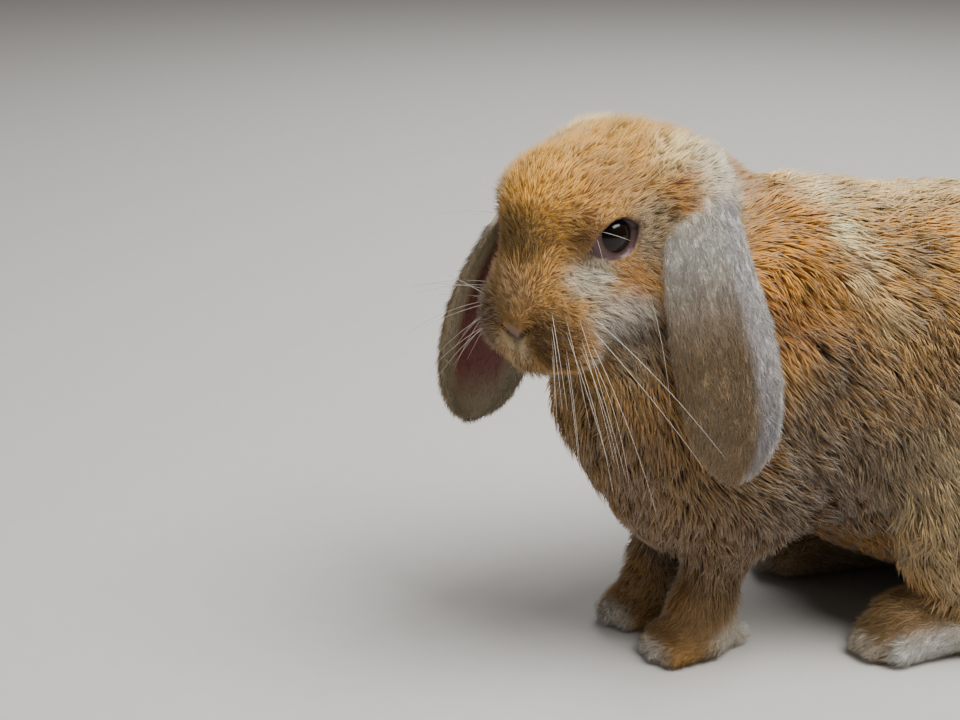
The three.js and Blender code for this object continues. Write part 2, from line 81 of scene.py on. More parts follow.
def turned(tilt=0.0, yaw=0.0, roll=0.0):
    """The rotation that rolls about y, then tilts about x, then yaws about z, in degrees."""
    a, b, c = np.radians([tilt, roll, yaw])
    about_x = np.array([[1, 0, 0], [0, np.cos(a), -np.sin(a)], [0, np.sin(a), np.cos(a)]])
    about_y = np.array([[np.cos(b), 0, np.sin(b)], [0, 1, 0], [-np.sin(b), 0, np.cos(b)]])
    about_z = np.array([[np.cos(c), -np.sin(c), 0], [np.sin(c), np.cos(c), 0], [0, 0, 1]])
    return about_z @ about_x @ about_y


# ------------------------------------------------------------------ forms, negative inside

def ball(p, at, half, **turn):
    """An ellipsoid: near (near - 1) over the slope, where near is the length of the point over the half
    sizes."""
    local = (p - np.array(at)) @ turned(**turn)
    near = length(local / np.array(half))
    return near * (near - 1) / np.maximum(length(local / np.array(half) ** 2), 1e-9)


def rod(p, a, b, ra, rb):
    """A rod with round ends: the distance to the line from a to b, less a radius that goes from ra to rb."""
    a, b = np.array(a, float), np.array(b, float)
    t = np.clip((p - a) @ (b - a) / ((b - a) @ (b - a)), 0, 1)
    return length(p - a - t[:, None] * (b - a)) - mix(ra, rb, t)


def blend(k, *fields):
    """The least of the fields, less a quarter of k times h squared, where h goes from 0 at the edge of the
    fillet to 1 where two fields are equal."""
    out = fields[0]
    for field in fields[1:]:
        h = np.maximum(k - np.abs(out - field), 0) / k
        out = np.minimum(out, field) - h * h * k / 4
    return out


def carve(k, field, cut):
    """The field with the inside of cut taken out, and its edge rounded over about k."""
    return -blend(k, -field, cut)


def both(p):
    """Points folded over to the left side."""
    return np.column_stack([np.abs(p[:, 0]), p[:, 1], p[:, 2]])


# ------------------------------------------------------------------ head

HEAD_AT = np.array([5.0, -40.0, 176.0])
HEAD_TURN = turned(yaw=20)
EYE_AT = np.array([19.0, -1.8, 1.4])
EYE_RADIUS = 8.5
EYE_OUT = unit(np.array([0.95, -0.17, 0.15]))    # the way the left eye looks
EYE_SLANT = 22                                   # the corner by the ear is the higher one


def to_head(p):
    return (p - HEAD_AT) @ HEAD_TURN


def from_head(q):
    return np.asarray(q, float) @ HEAD_TURN.T + HEAD_AT


def head_form(q):
    m = both(q)
    cranium = ball(q, (0, 24, 7), (30.5, 35, 30.5))
    forehead = ball(q, (0, -6, 10), (24, 24, 22.5))
    nape = ball(q, (0, 50, 2), (27, 26, 26))
    ear_base = ball(m, (24, 30, 16), (16, 19, 17))
    brow = ball(m, (16, -5, 12), (9, 13, 8), yaw=8)
    skull = blend(12, blend(14, cranium, forehead, nape, ear_base), brow)
    bridge = ball(q, (0, -14.5, -13), (20.5, 17, 25), tilt=-20)
    cheek = ball(m, (14, 4, -22), (18, 25, 22))
    whisker_pad = ball(m, (13.5, -16, -30), (15.5, 13.5, 15))
    upper_lip = ball(m, (12.5, -14.5, -38), (15.5, 14, 12))
    nose = ball(q, (0, -17.5, -32), (9, 8, 10))
    chin = ball(q, (0, -16, -45), (12, 11, 9))
    jaw = ball(q, (0, 8, -37), (21, 25, 16))
    muzzle = blend(6, blend(9, blend(10, bridge, cheek), jaw), whisker_pad, upper_lip, nose, chin)
    return blend(9, skull, muzzle)


# ------------------------------------------------------------------ body and legs

FORE_AT = {LEFT: (14, 2), RIGHT: (-20, -2)}
FORE_TOES = (-9.5, -3.4, 3.2, 9.2)
FORE_REACH = (-8, -13.5, -13.5, -9.5)
HIND_AT = (43, 66)
HIND_YAW = np.radians(5)
HIND_TOES = (-10, -3.4, 3.4, 10)
HIND_REACH = (6, 0, 1, 7)


def trunk_form(p):
    m = both(p)
    shoulders = ball(p, (0, 40, 121), (42, 50, 66), tilt=-10)
    ribs = ball(p, (0, 95, 106), (58, 74, 74))
    rump = ball(p, (0, 140, 88), (64, 62, 80))
    chest = ball(p, (0, 2, 88), (37, 33.5, 50), tilt=20)
    throat = ball(p, (0, -11, 114), (32, 33, 32), tilt=15)
    neck = rod(p, (0, 28, 140), (3, 0, 160), 38, 33)
    upper_arm = ball(m, (25, 30, 90), (21, 33, 40))
    return blend(18, blend(24, blend(22, blend(30, shoulders, ribs, rump), chest, throat), neck), upper_arm)


def foreleg_form(p, side):
    x, y = FORE_AT[side]
    arm = rod(p, (x, y + 24, 75), (x, y + 13, 22), 21, 13)
    wrist = rod(p, (x, y + 12, 22), (x, y + 6, 11), 13, 11)
    toes = [rod(p, (x + 0.6 * dx, y + 12, 9), (x + dx, y + reach + 6, 5), 8, 6.2)
            for dx, reach in zip(FORE_TOES, FORE_REACH)]
    heel = rod(p, (x, y + 14, 7), (x, y + 27, 5), 9, 6.5)
    return blend(9, blend(3, *toes), heel, wrist, arm)


def hind_point(side, across, back, height):
    """A point of the hind foot, by its distance sideways and backwards from the toes."""
    c, s = np.cos(HIND_YAW), np.sin(HIND_YAW)
    return np.array([side * (HIND_AT[0] + c * across - s * back), HIND_AT[1] + s * across + c * back, height])


def hindfoot_form(p, side):
    sole = rod(p, hind_point(side, 0, 22, 12), hind_point(side, 0, 84, 12), 15, 17)
    hock = ball(p, hind_point(side, 1, 54, 12), (23, 36, 15))
    toes = [rod(p, hind_point(side, 0.7 * dx, 30, 9), hind_point(side, dx, reach + 7, 5.8), 10, 7)
            for dx, reach in zip(HIND_TOES, HIND_REACH)]
    return blend(7, blend(3, *toes), sole, hock)


def outer_form(p):
    """The reach of the coat all over the rabbit but its ears, which is the surface of the solids."""
    thigh = ball(both(p), (44, 128, 62), (27, 50, 52), tilt=-15)
    tail = ball(p, (0, 200, 66), (17, 15, 25), tilt=14)
    body = blend(10, blend(16, trunk_form(p), head_form(to_head(p))), thigh, tail)
    body = blend(12, body, foreleg_form(p, LEFT), foreleg_form(p, RIGHT))
    return blend(9, body, hindfoot_form(p, LEFT), hindfoot_form(p, RIGHT))


# ------------------------------------------------------------------ values that change from place to place

def layered(p, base, spots):
    """The base value, with each spot's own value laid over it: (middle, half sizes, value, strength). A spot
    fades out smoothly from 0.55 to 1.45 of its half sizes."""
    out = np.tile(np.asarray(base, float), (len(p), 1))
    for at, half, value, strength in spots:
        near = length((p - np.array(at)) / np.array(half))
        weight = strength * (1 - ramp(near, 0.55, 1.45))[:, None]
        out += weight * (np.asarray(value, float) - out)
    return out


THROAT_AT = np.array([0.0, -6.0, 150.0])
TO_BODY = unit(np.array([0.0, 0.67, -0.74]))

# Depth of the coat, from the skin to the tips.
HEAD_DEPTH = 3.8
HEAD_DEPTHS = (
    ((0, 34, 28), (34, 26, 20), 4.4, 1),       # crown and nape
    ((0, 10, -42), (30, 26, 16), 4.8, 1),      # cheeks and jaw
    ((0, -22, 0), (16, 12, 20), 2.8, 1),       # bridge
    ((0, -22, -32), (24, 18, 20), 2.4, 1),     # muzzle
    ((28, -3, 1), (10, 14, 12), 1.0, 1),       # round the eyes
    ((0, -28, -35), (9, 6, 9), 0.5, 1),        # nose
)
BODY_DEPTH = 5.8
BODY_DEPTHS = (
    ((0, 90, 10), (50, 90, 30), 5.2, 1),       # belly
    ((0, 15, 34), (42, 34, 30), 4.4, 1),       # forelegs
    ((0, 4, 4), (46, 40, 20), 2.4, 1),         # front feet
    ((44, 98, 4), (28, 52, 22), 2.6, 1),       # hind feet
    ((0, 200, 66), (18, 18, 26), 7.0, 1),      # tail
)


def head_share(p):
    """1 on the head, 0 on the body, changing over the throat."""
    return 1 - ramp((p - THROAT_AT) @ TO_BODY, -8, 14)


def coat_depth(p):
    on_head = layered(both(to_head(p)), [HEAD_DEPTH], HEAD_DEPTHS)[:, 0]
    on_body = layered(both(p), [BODY_DEPTH], BODY_DEPTHS)[:, 0]
    return mix(on_body, on_head, head_share(p))


# ------------------------------------------------------------------ ears

EARS = {
    LEFT: SimpleNamespace(
        line=((26, 29, 12), (37.5, 26, 7), (45, 24, -14), (52, 26.5, -42), (57, 28, -68), (57, 27, -90)),
        outward=(0.87, -0.46, 0.05), half_width=20.8, shift=1.2, curl=34),
    RIGHT: SimpleNamespace(
        line=((24, 27, 18), (33, 23, 12), (39.5, 10, -12), (45.5, -2, -40), (47.5, -6, -62), (47, -9, -87)),
        outward=(1, 0.25, 0.05), half_width=23, shift=0.0, curl=46),
}
EAR_SKIN = 2.4           # thickness of the ear itself
EAR_COAT = 1.9           # depth of the hair on each face of it
EAR_STATIONS = 160
TIP_START = 0.64         # where the rounding of the tip begins and ends, as shares of the line
EAR_END = 0.985
TIP_POWER = 2.5
TIP_LEAST = 0.004        # keeps the width of the very tip from vanishing
ROOT_WIDTH = 0.72        # width at the root, as a share of the widest
ROOT_CURL = 64           # half the angle at the root, in degrees, which eases to the ear's own curl
CURL_SETTLED = 0.35


def through(points, count):
    """Places along a centripetal Catmull-Rom curve through the points: a cubic between each two of them, with
    slopes from their neighbours weighted by the square root of the distances, spaced evenly by length."""
    points = np.vstack([2 * points[0] - points[1], points, 2 * points[-1] - points[-2]])
    t = np.linspace(0, 1, 60)[:, None]
    pieces = []
    for a, b, c, d in zip(points, points[1:], points[2:], points[3:]):
        before, here, after = (np.sqrt(length(v)) for v in (b - a, c - b, d - c))
        start = ((b - a) / before - (c - a) / (before + here) + (c - b) / here) * here
        stop = ((c - b) / here - (d - b) / (here + after) + (d - c) / after) * here
        pieces.append(b + start * t + (3 * (c - b) - 2 * start - stop) * t**2
                      + (2 * (b - c) + start + stop) * t**3)
    curve = np.vstack(pieces)
    run = np.concatenate([[0], np.cumsum(length(np.diff(curve, axis=0)))])
    even = np.linspace(0, run[-1], count)
    return np.column_stack([np.interp(even, run, curve[:, i]) for i in range(3)]), run[-1]


def hang_ear(side):
    """The curve that an ear hangs on, with the directions along it, across the leaf and out of it."""
    ear = EARS[side]
    flip = np.array([side, 1, 1])
    point, run = through(from_head(np.array(ear.line) * flip), EAR_STATIONS)
    along = unit(np.gradient(point, axis=0))
    outward = (np.array(ear.outward) * flip) @ HEAD_TURN.T
    out = unit(outward - (along @ outward)[:, None] * along)
    return SimpleNamespace(point=point, run=run, along=along, out=out, across=np.cross(along, out), ear=ear)


HANGS = {side: hang_ear(side) for side in (LEFT, RIGHT)}


def ear_shape(share, ear, inset):
    """Half the angle that the leaf spans less the inset, and the radius of its bend, at shares of its length.
    The tip rounds off as the root of 1 less a power of the share run from where the rounding starts."""
    tip = np.maximum(0, share - TIP_START) / (EAR_END - TIP_START)
    taper = np.sqrt(np.maximum(1 - tip**TIP_POWER, TIP_LEAST))
    half_width = ear.half_width * mix(ROOT_WIDTH, 1, ramp(share, 0, TIP_START)) * taper
    half_angle = np.radians(mix(ROOT_CURL, ear.curl, ramp(share, 0, CURL_SETTLED)))
    bend = half_width / half_angle
    return np.maximum(half_width - inset, 1.0) / bend, bend


def ear_places(p, side):
    """Where points are on an ear: its share of the length, its angle round the bend as a share of the edge's,
    its height over the middle of the sheet, and its distance from the skin of the ear."""
    hang = HANGS[side]
    nearest = np.empty(len(p), int)
    for start in range(0, len(p), 20000):
        block = p[start:start + 20000]
        nearest[start:start + 20000] = ((hang.point**2).sum(1) - 2 * block @ hang.point.T).argmin(1)
    offset = p - hang.point[nearest]
    share = nearest / (EAR_STATIONS - 1)
    ahead = (offset * hang.along[nearest]).sum(1)
    inner = np.clip(share + ahead / hang.run, 0, EAR_END - 0.006)
    beyond = ahead - (inner - share) * hang.run
    half_angle, bend = ear_shape(inner, hang.ear, EAR_COAT)
    sideways = (offset * hang.across[nearest]).sum(1) + side * hang.ear.shift
    height = (offset * hang.out[nearest]).sum(1) + bend
    angle, radius = np.arctan2(sideways, height), np.hypot(sideways, height)
    past_edge = np.maximum(np.abs(angle) - half_angle, 0) * radius
    thick = mix(1.5 * EAR_SKIN, EAR_SKIN, ramp(inner, 0, 0.3))
    gap = np.sqrt((radius - bend)**2 + past_edge**2 + beyond**2) - thick / 2
    return SimpleNamespace(share=inner, turn=side * angle / half_angle, height=radius - bend, gap=gap,
                           along=hang.along[nearest])


def ear_form(p, side, spare=8.0):
    """The ear's field near it, and a large value elsewhere."""
    hang = HANGS[side]
    room = hang.ear.half_width + spare
    near = np.all((p > hang.point.min(0) - room) & (p < hang.point.max(0) + room), axis=1)
    out = np.full(len(p), 99.0)
    if near.any():
        out[near] = ear_places(p[near], side).gap
    return out


# ------------------------------------------------------------------ skin

FLOOR_HAIR = 1.6          # height of the skin of the soles over the floor
LID_THICK = 1.3           # of the skin over the globe
LID_HALF = 6.9            # half the opening across its slant
LID_REACH = (11.4, 8.6)   # from its middle to the corner by the nose, and to the one by the ear
LID_POWER = 2.3           # 1 gives the opening straight sides, more makes it fuller
LID_DROP = 1.0            # the opening's middle lies this far below the globe's
LID_FLOOR = 6.0           # the bare corner of the eye lies this far out from the globe's middle
EYE_SHOWN = 6.2           # radius of the dark ring where the bare lids meet the globe
SLANT = np.array([0, np.cos(np.radians(EYE_SLANT)), np.sin(np.radians(EYE_SLANT))])
EYE_ALONG = unit(SLANT - (SLANT @ EYE_OUT) * EYE_OUT)
EYE_ACROSS = np.cross(EYE_OUT, EYE_ALONG)


def eye_view(q):
    """Points of the left side seen from the eye: along the opening's slant, across it, and outwards."""
    d = both(q) - EYE_AT
    return d @ EYE_ALONG, d @ EYE_ACROSS, d @ EYE_OUT


def lid_edge(q):
    """How far outside the almond of the lids' opening a point is: the across share plus the along share to a
    power, less one, in millimetres at the sides."""
    u, v, out = eye_view(q)
    reach = np.where(u < 0, *LID_REACH)
    share = np.abs(v + LID_DROP) / LID_HALF + (np.abs(u) / reach)**LID_POWER
    return (share - 1) * LID_HALF * 0.7, out


def nostril(m):
    return ball(m, (6.4, -27.0, -32.6), (5.2, 4.4, 0.6), roll=-38)


def with_face(field, q):
    """The head's skin with lids over the globes, nostrils, the cleft of the lip, and the mouth."""
    m = both(q)
    field = blend(4, field, ball(m, EYE_AT, (EYE_RADIUS + LID_THICK,) * 3))
    edge, out = lid_edge(q)
    field = carve(0.8, field, np.maximum(edge, LID_FLOOR - out))
    field = carve(0.8, field, nostril(m))
    field = carve(1.4, field, rod(q, (0, -30, -36.5), (0, -27.5, -45), 1.3, 1.3))
    front = rod(m, (0, -28, -46), (8, -22, -48.5), 0.8, 0.8)
    corner = rod(m, (8, -22, -48.5), (15, -10, -46), 0.8, 0.4)
    return carve(1.5, field, np.minimum(front, corner))


def skin_form(p):
    """The whole skin: the coat's reach drawn in by the coat's depth, with face, ears and soles."""
    p = np.asarray(p, float)
    field = outer_form(p) + coat_depth(p)
    q = to_head(p)
    near_head = length(q - np.array([0, 5, -10])) < 75
    if near_head.any():
        field[near_head] = with_face(field[near_head], q[near_head])
    field = blend(4, field, ear_form(p, LEFT), ear_form(p, RIGHT))
    return np.maximum(field, FLOOR_HAIR - p[:, 2])


def grid_line(*spans):
    """Places along one axis: each span (low, high, step) divided evenly."""
    parts = [np.linspace(low, high, round((high - low) / step), endpoint=False) for low, high, step in spans]
    return np.concatenate([*parts, [spans[-1][1]]])


def surface_nets(form, lines):
    """Closed quads where the form is zero on a grid of lines: one vertex in each cell that the surface
    passes, at the mean of the edges' crossings, and four cells joined round each grid edge it crosses."""
    n = np.array([len(line) for line in lines])
    plane = np.stack(np.meshgrid(lines[1], lines[2], indexing="ij"), -1).reshape(-1, 2)
    value = np.empty(n, np.float32)
    for i, x in enumerate(lines[0]):
        value[i] = form(np.column_stack([np.full(len(plane), x), plane])).reshape(n[1:])
    inside = value < 0
    crossings = np.zeros((*(n - 1), 4), np.float32)

    def corner(a, offset):
        return a[tuple(slice(o, m - 1 + o) for o, m in zip(offset, n))]

    for offset in np.ndindex(2, 2, 2):
        for axis in range(3):
            if offset[axis]:
                continue
            other = tuple(o + (m == axis) for m, o in enumerate(offset))
            a, b = corner(value, offset), corner(value, other)
            cross = (a < 0) != (b < 0)
            step = np.where(cross, a / np.where(cross, a - b, 1), 0)
            for m in range(3):
                crossings[..., m] += cross * (offset[m] + (step if m == axis else 0))
            crossings[..., 3] += cross
    used = crossings[..., 3] > 0
    index = np.where(used, np.cumsum(used.ravel()).reshape(used.shape) - 1, -1)
    cell = np.argwhere(used)
    share = crossings[used][:, :3] / crossings[used][:, 3:]
    vertices = np.empty((len(cell), 3))
    for m, line in enumerate(lines):
        vertices[:, m] = line[cell[:, m]] + share[:, m] * np.diff(line)[cell[:, m]]
    quads = []
    for axis in range(3):
        low = tuple(slice(0, -1) if m == axis else slice(None) for m in range(3))
        high = tuple(slice(1, None) if m == axis else slice(None) for m in range(3))
        edge = np.argwhere(inside[low] != inside[high])
        one, two = (axis + 1) % 3, (axis + 2) % 3
        ring = []
        for back_one, back_two in ((1, 1), (0, 1), (0, 0), (1, 0)):
            at = edge.copy()
            at[:, one] -= back_one
            at[:, two] -= back_two
            ring.append(index[tuple(at.T)])
        ring = np.stack(ring, 1)
        turn = ~inside[tuple(edge.T)]
        ring[turn] = ring[turn][:, ::-1]
        quads.append(ring)
    return vertices, np.concatenate(quads)


def slope(form, p, e=0.3):
    """The form's slope by differences on each side."""
    steps = [form(p + v) - form(p - v) for v in np.eye(3) * e]
    return np.stack(steps, 1) / (2 * e)


def settled(form, p, most):
    """Points moved along the slope on to the surface, no more than a given distance a turn."""
    for _ in range(3):
        rise = slope(form, p)
        steep = np.maximum(length(rise), 0.3)
        move = np.clip(-form(p) / steep, -most, most)
        p = p + unit(rise) * move[:, None]
    return p


# ------------------------------------------------------------------ from arrays to pieces

def to_frame(p):
    """Points of the shaping frame, in millimetres, as points of the row's frame, in metres."""
    return (np.asarray(p, float) + SHIFT) * MM


def find_shift():
    """The step from the shaping frame to the row's, in millimetres, from where the solids' left eye lies."""
    low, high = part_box("eye_left")
    return (np.array(low) + np.array(high)) / 2 / MM - from_head(EYE_AT)


def piece(name, points, faces, material):
    """A mesh object from points in millimetres and faces that all have the same number of corners."""
    mesh = bpy.data.meshes.new(name)
    mesh.vertices.add(len(points))
    mesh.vertices.foreach_set("co", to_frame(points).astype(np.float32).ravel())
    mesh.loops.add(faces.size)
    mesh.loops.foreach_set("vertex_index", faces.astype(np.int32).ravel())
    mesh.polygons.add(len(faces))
    mesh.polygons.foreach_set("loop_start", np.arange(len(faces), dtype=np.int32) * faces.shape[1])
    mesh.polygons.foreach_set("use_smooth", np.ones(len(faces), bool))
    mesh.update(calc_edges=True)
    mesh.materials.append(material)
    obj = bpy.data.objects.new(name, mesh)
    bpy.context.scene.collection.objects.link(obj)
    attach(obj, "root")
    return obj


def give_colour(obj, name, colour):
    """A colour for each vertex, for materials to read by name."""
    rgba = np.ones((len(colour), 4), np.float32)
    rgba[:, :3] = colour
    obj.data.attributes.new(name, "FLOAT_COLOR", "POINT").data.foreach_set("color", rgba.ravel())


def give_value(obj, name, value):
    data = obj.data.attributes.new(name, "FLOAT", "POINT").data
    data.foreach_set("value", np.asarray(value, np.float32))


def paint(code):
    """A colour written as six hexadecimal digits of sRGB, as linear red, green and blue."""
    s = np.array([int(code[i:i + 2], 16) for i in (0, 2, 4)]) / 255
    return np.where(s > 0.04045, ((s + 0.055) / 1.055)**2.4, s / 12.92)


# ------------------------------------------------------------------ markings

BODY_COLOUR = paint("bd8d4e")
BODY_MARKS = (
    ((0, 30, 60), (60, 50, 60), paint("5c432a"), 0.85),       # chest and forelegs, olive brown, darkened further with painted shade
    ((0, -20, 95), (45, 30, 40), paint("664c2f"), 0.85),      # throat, brown darkened with painted shade
    ((58, 80, 105), (25, 60, 50), paint("7d6341"), 0.85),     # flank, brown darkened with painted shade
    ((50, 55, 78), (30, 56, 30), paint("574029"), 0.8),       # lower flank, grey brown, partly its own colour and partly painted shade
    ((0, 110, 186), (46, 90, 20), paint("dfc496"), 0.9),      # top of the back
    ((34, 94, 162), (20, 26, 18), paint("c79b58"), 0.8),      # its side, golden
    ((30, 30, 171), (22, 23, 21), paint("cb9145"), 0.9),      # orange behind the ear
    ((44, 23, 149), (12, 14, 13), paint("99622f"), 0.8),      # reddish below it
    ((16, 47, 186), (13, 12, 9), paint("f0dfba"), 0.85),      # pale streak from the nape down the side
    ((28, 53, 175), (11, 9, 10), paint("eedbb2"), 0.85),
    ((38, 58, 163), (10, 9, 11), paint("e4cea2"), 0.85),
    ((47, 64, 149), (9, 9, 10), paint("d9c092"), 0.8),
    ((37, 78, 165), (9, 10, 11), paint("7f6c57"), 0.8),       # grey brown beside it, partly its own colour and partly painted shade
    ((50, 77, 149), (9, 9, 10), paint("7a664f"), 0.75),
    # darker grey brown down the shoulder to the elbow: partly its own colour and partly painted shade
    ((50, 44, 131), (12, 13, 14), paint("5f4a36"), 0.8),
    ((50, 30, 110), (14, 16, 20), paint("5a452f"), 0.8),
    ((53, 70, 134), (10, 14, 10), paint("b58f5b"), 0.75),
    ((60, 112, 66), (26, 48, 48), paint("ab946e"), 0.85),     # thigh, cream grey
    ((30, 8, 194), (16, 14, 14), paint("ece2cb"), 0.9),       # nape behind the ear
    ((0, 90, 12), (44, 80, 22), paint("c4b190"), 0.9),        # belly
    ((0, 206, 70), (16, 14, 20), paint("b79667"), 0.7),       # tail above
    ((0, 206, 46), (18, 22, 14), paint("e8dfd0"), 0.95),      # tail below
    ((14, -4, 16), (13, 15, 12), paint("8d6738"), 0.9),       # front feet, their own brown darkened further with painted shade
    ((17, -12, 4), (16, 8, 8), paint("e6e1d6"), 0.85),        # their toes
    ((20, 27, 8), (16, 14, 11), paint("efe9dd"), 0.9),        # their heels
    ((44, 84, 20), (18, 34, 14), paint("a3845c"), 0.9),       # hind feet above
    ((60, 92, 6), (9, 48, 11), paint("f4f1ea"), 0.95),        # their outer edge
    ((44, 68, 5), (18, 8, 8), paint("e0d9c9"), 0.8),
)
HEAD_COLOUR = paint("bb8e50")
HEAD_MARKS = (
    ((0, 17, 38), (26, 30, 16), paint("d0a04e"), 0.9),        # crown
    ((32, 27, 30), (16, 16, 12), paint("e6d2a2"), 0.85),      # beside the crown, cream
    ((0, -22, 22), (22, 12, 18), paint("cf9c48"), 0.85),      # forehead
    ((24, -11, 19), (9, 11, 8), paint("ae7a30"), 0.8),        # over the eye
    ((24, -16, 5), (6, 8, 7), paint("8c6238"), 0.8),          # before the eye
    ((22, -14, -11), (8, 11, 8), paint("e0d7c4"), 0.9),       # under the eye, cream
    ((30, -1, -14), (8, 8, 8), paint("c68c40"), 0.85),        # under its corner, orange
    ((30, 10, 4), (8, 9, 12), paint("85765f"), 0.85),         # between eye and ear
    ((27, -2, -26), (10, 14, 9), paint("d5cfc5"), 0.85),      # cheek, pale
    ((30, 6, -42), (14, 18, 14), paint("82776a"), 0.85),      # lower cheek, grey
    ((0, -29, -3), (11, 9, 14), paint("94784e"), 0.75),       # bridge
    ((-3, -31, -20), (13, 9, 10), paint("c0a078"), 0.8),      # muzzle above
    ((16, -22, -33), (10, 12, 11), paint("68492a"), 0.9),     # whisker pad
    ((3, -31, -42), (6, 6, 8), paint("d6c6a8"), 0.75),        # pale front of the lip
    ((0, -24, -50), (12, 10, 5), paint("8c7452"), 0.8),       # lip
    ((0, -10, -57), (16, 16, 8), paint("80694d"), 0.9),       # chin
    ((0, -29, -34), (5, 5, 4), paint("86644a"), 0.8),         # nose
    ((37, 19, 17), (8, 10, 9), paint("a8722e"), 0.8),         # fold at the ear
    ((36, 38, 20), (16, 14, 14), paint("ece2cb"), 0.9),       # nape
)
EAR_FRONT = paint("92795a")
EAR_TOP = paint("ece6dc")
EAR_REAR = paint("eae4e6")
EAR_RIM = paint("ece8e2")
# the pink inside of the ear, dark maroon with painted shade
SHADED_EAR_INSIDE = paint("74403c")
EAR_FAR_RIM = paint("cdbd9c")
BARE_LID = paint("4d3738")
BARE_NOSE = paint("755440")
# dark brown: the ring round the eye, and painted shade in the nostrils, the cleft of the lip and the creases
# between the toes
DARK_RIM_AND_CREASE_SHADE = paint("3a241a")
CREAM_TIP = paint("e0c288")
RICHNESS = 1.12          # how much further from grey the coat is than the markings are written


def ripple(p, size, seed):
    """Smooth noise from about -1 to 1: the sum of six products of two sines each, over three, with seeded
    directions and wavelengths from 0.8 to 1.7 times the size."""
    waves = np.random.default_rng(seed)
    out = np.zeros(len(p))
    for _ in range(6):
        way = unit(waves.normal(size=3)) * 2 * np.pi / (size * waves.uniform(0.8, 1.7))
        side = unit(waves.normal(size=3)) * 2 * np.pi / (size * waves.uniform(0.8, 1.7))
        out += np.sin(p @ way + waves.uniform(0, 6.3)) * np.sin(p @ side + waves.uniform(0, 6.3))
    return out / 3


def ear_colours(at, side):
    """Colours over one ear: grey tan before, pale behind, a white rim, and a dusky pink inside, darkened to
    maroon with painted shade. The pale back and the rims darken towards the tip with painted shade.
    """
    front = mix(EAR_FRONT, EAR_TOP, (1 - ramp(at.share, 0.15, 0.58))[:, None])
    # painted shade: the pale back falls to half its brightness towards the tip
    rear = mix(EAR_REAR, EAR_REAR * 0.5, ramp(at.share, 0.4, 0.95)[:, None])
    outside = mix(front, rear, (1 - ramp(at.turn, -0.6, -0.25))[:, None])
    outside = mix(outside, EAR_RIM, (1 - ramp(at.turn, -0.98, -0.84))[:, None])
    rim = EAR_RIM if side == LEFT else EAR_FAR_RIM
    # painted shade: the rims darken towards the tip
    rim = mix(rim, EAR_FAR_RIM * 0.4, ramp(at.share, 0.4, 0.95)[:, None])
    middle = (1 - ramp(np.abs(at.turn), 0.45, 0.75)) * (1 - ramp(at.share, 0.78, 0.96))
    inside = mix(rim, SHADED_EAR_INSIDE, middle[:, None])
    return mix(inside, outside, ramp(at.height, -0.7, 0.5)[:, None])


# ------------------------------------------------------------------ lie of the coat

BODY_LIE = (0, 1, -0.4)
BODY_LIES = (
    ((0, 30, 190), (40, 40, 20), (0, 1, -0.1), 1),            # nape
    ((60, 80, 100), (34, 60, 60), (0, 0.65, -1.0), 1),        # flank
    ((44, 35, 140), (24, 30, 46), (0.1, 0.5, -0.95), 1),      # shoulder
    ((0, -25, 95), (60, 34, 60), (0.05, 0.1, -1), 1),         # chest
    ((24, 8, 45), (30, 30, 36), (0, -0.05, -1), 1),           # forelegs
    ((0, -6, 5), (60, 32, 16), (0, -1, -0.45), 1),            # front feet
    ((60, 115, 66), (26, 50, 46), (0, 0.55, -0.9), 1),        # thigh
    ((44, 92, 10), (24, 50, 22), (0, -1, -0.35), 1),          # hind feet
    ((0, 195, 120), (60, 30, 60), (0, 0.25, -1), 1),          # rump
    ((0, 90, 8), (30, 70, 18), (0, 1, 0.05), 1),              # belly
    ((0, 206, 66), (18, 22, 28), (0, 0.4, 1), 1),             # tail
)
HEAD_LIE = (0, 1, 0.1)
HEAD_LIES = (
    ((0, -30, -8), (14, 12, 22), (0, 0.5, 1), 1),             # bridge
    ((18, -22, -32), (12, 14, 14), (0.6, 1, -0.1), 1),        # whisker pads
    ((0, -24, -50), (16, 14, 8), (0, 0.8, -0.8), 1),          # lip and chin
    ((30, 4, -32), (14, 22, 24), (0, 0.8, -0.8), 1),          # cheeks
    ((22, -16, -8), (10, 10, 10), (0.3, 1, -0.5), 1),         # before the eye
    ((24, -10, 18), (10, 12, 8), (0.2, 1, 0.5), 1),           # brow
    ((0, 20, 38), (30, 26, 14), (0, 1, -0.1), 1),             # crown
)


def round_eyes(q, lie):
    """The lie near the eyes with the part that points into them turned outwards."""
    u, v, out = eye_view(q)
    edge, _ = lid_edge(q)
    away = unit(u[:, None] * EYE_ALONG + (v + LID_DROP)[:, None] * EYE_ACROSS)
    lie = unit(lie)
    inward = np.minimum((lie * away).sum(1), 0)
    weight = (1 - ramp(edge, 1, 7)) * ramp(out, -2, 2)
    return lie + away * (weight * (0.35 - inward))[:, None]


def lie_of_coat(p, on_head):
    """Which way the hair lies: laid out by place on the left side and folded over to the right one."""
    flip = np.where(p[:, :1] < 0, -1, 1) * [1, 0, 0] + [0, 1, 1]
    body = layered(both(p), BODY_LIE, BODY_LIES) * flip
    q = to_head(p)
    flip = np.where(q[:, :1] < 0, -1, 1) * [1, 0, 0] + [0, 1, 1]
    head = round_eyes(q, layered(both(q), HEAD_LIE, HEAD_LIES)) * flip @ HEAD_TURN.T
    return mix(unit(body), unit(head), on_head[:, None])


def corner_normals(points, faces):
    """Unit normals at the vertices: the sum of the crossed diagonals of the quads round each one."""
    a, b, c, d = (points[faces[:, i]] for i in range(4))
    across = np.cross(c - a, d - b)
    total = np.zeros_like(points)
    for i in range(4):
        for axis in range(3):
            total[:, axis] += np.bincount(faces[:, i], across[:, axis], len(points))
    return unit(total)


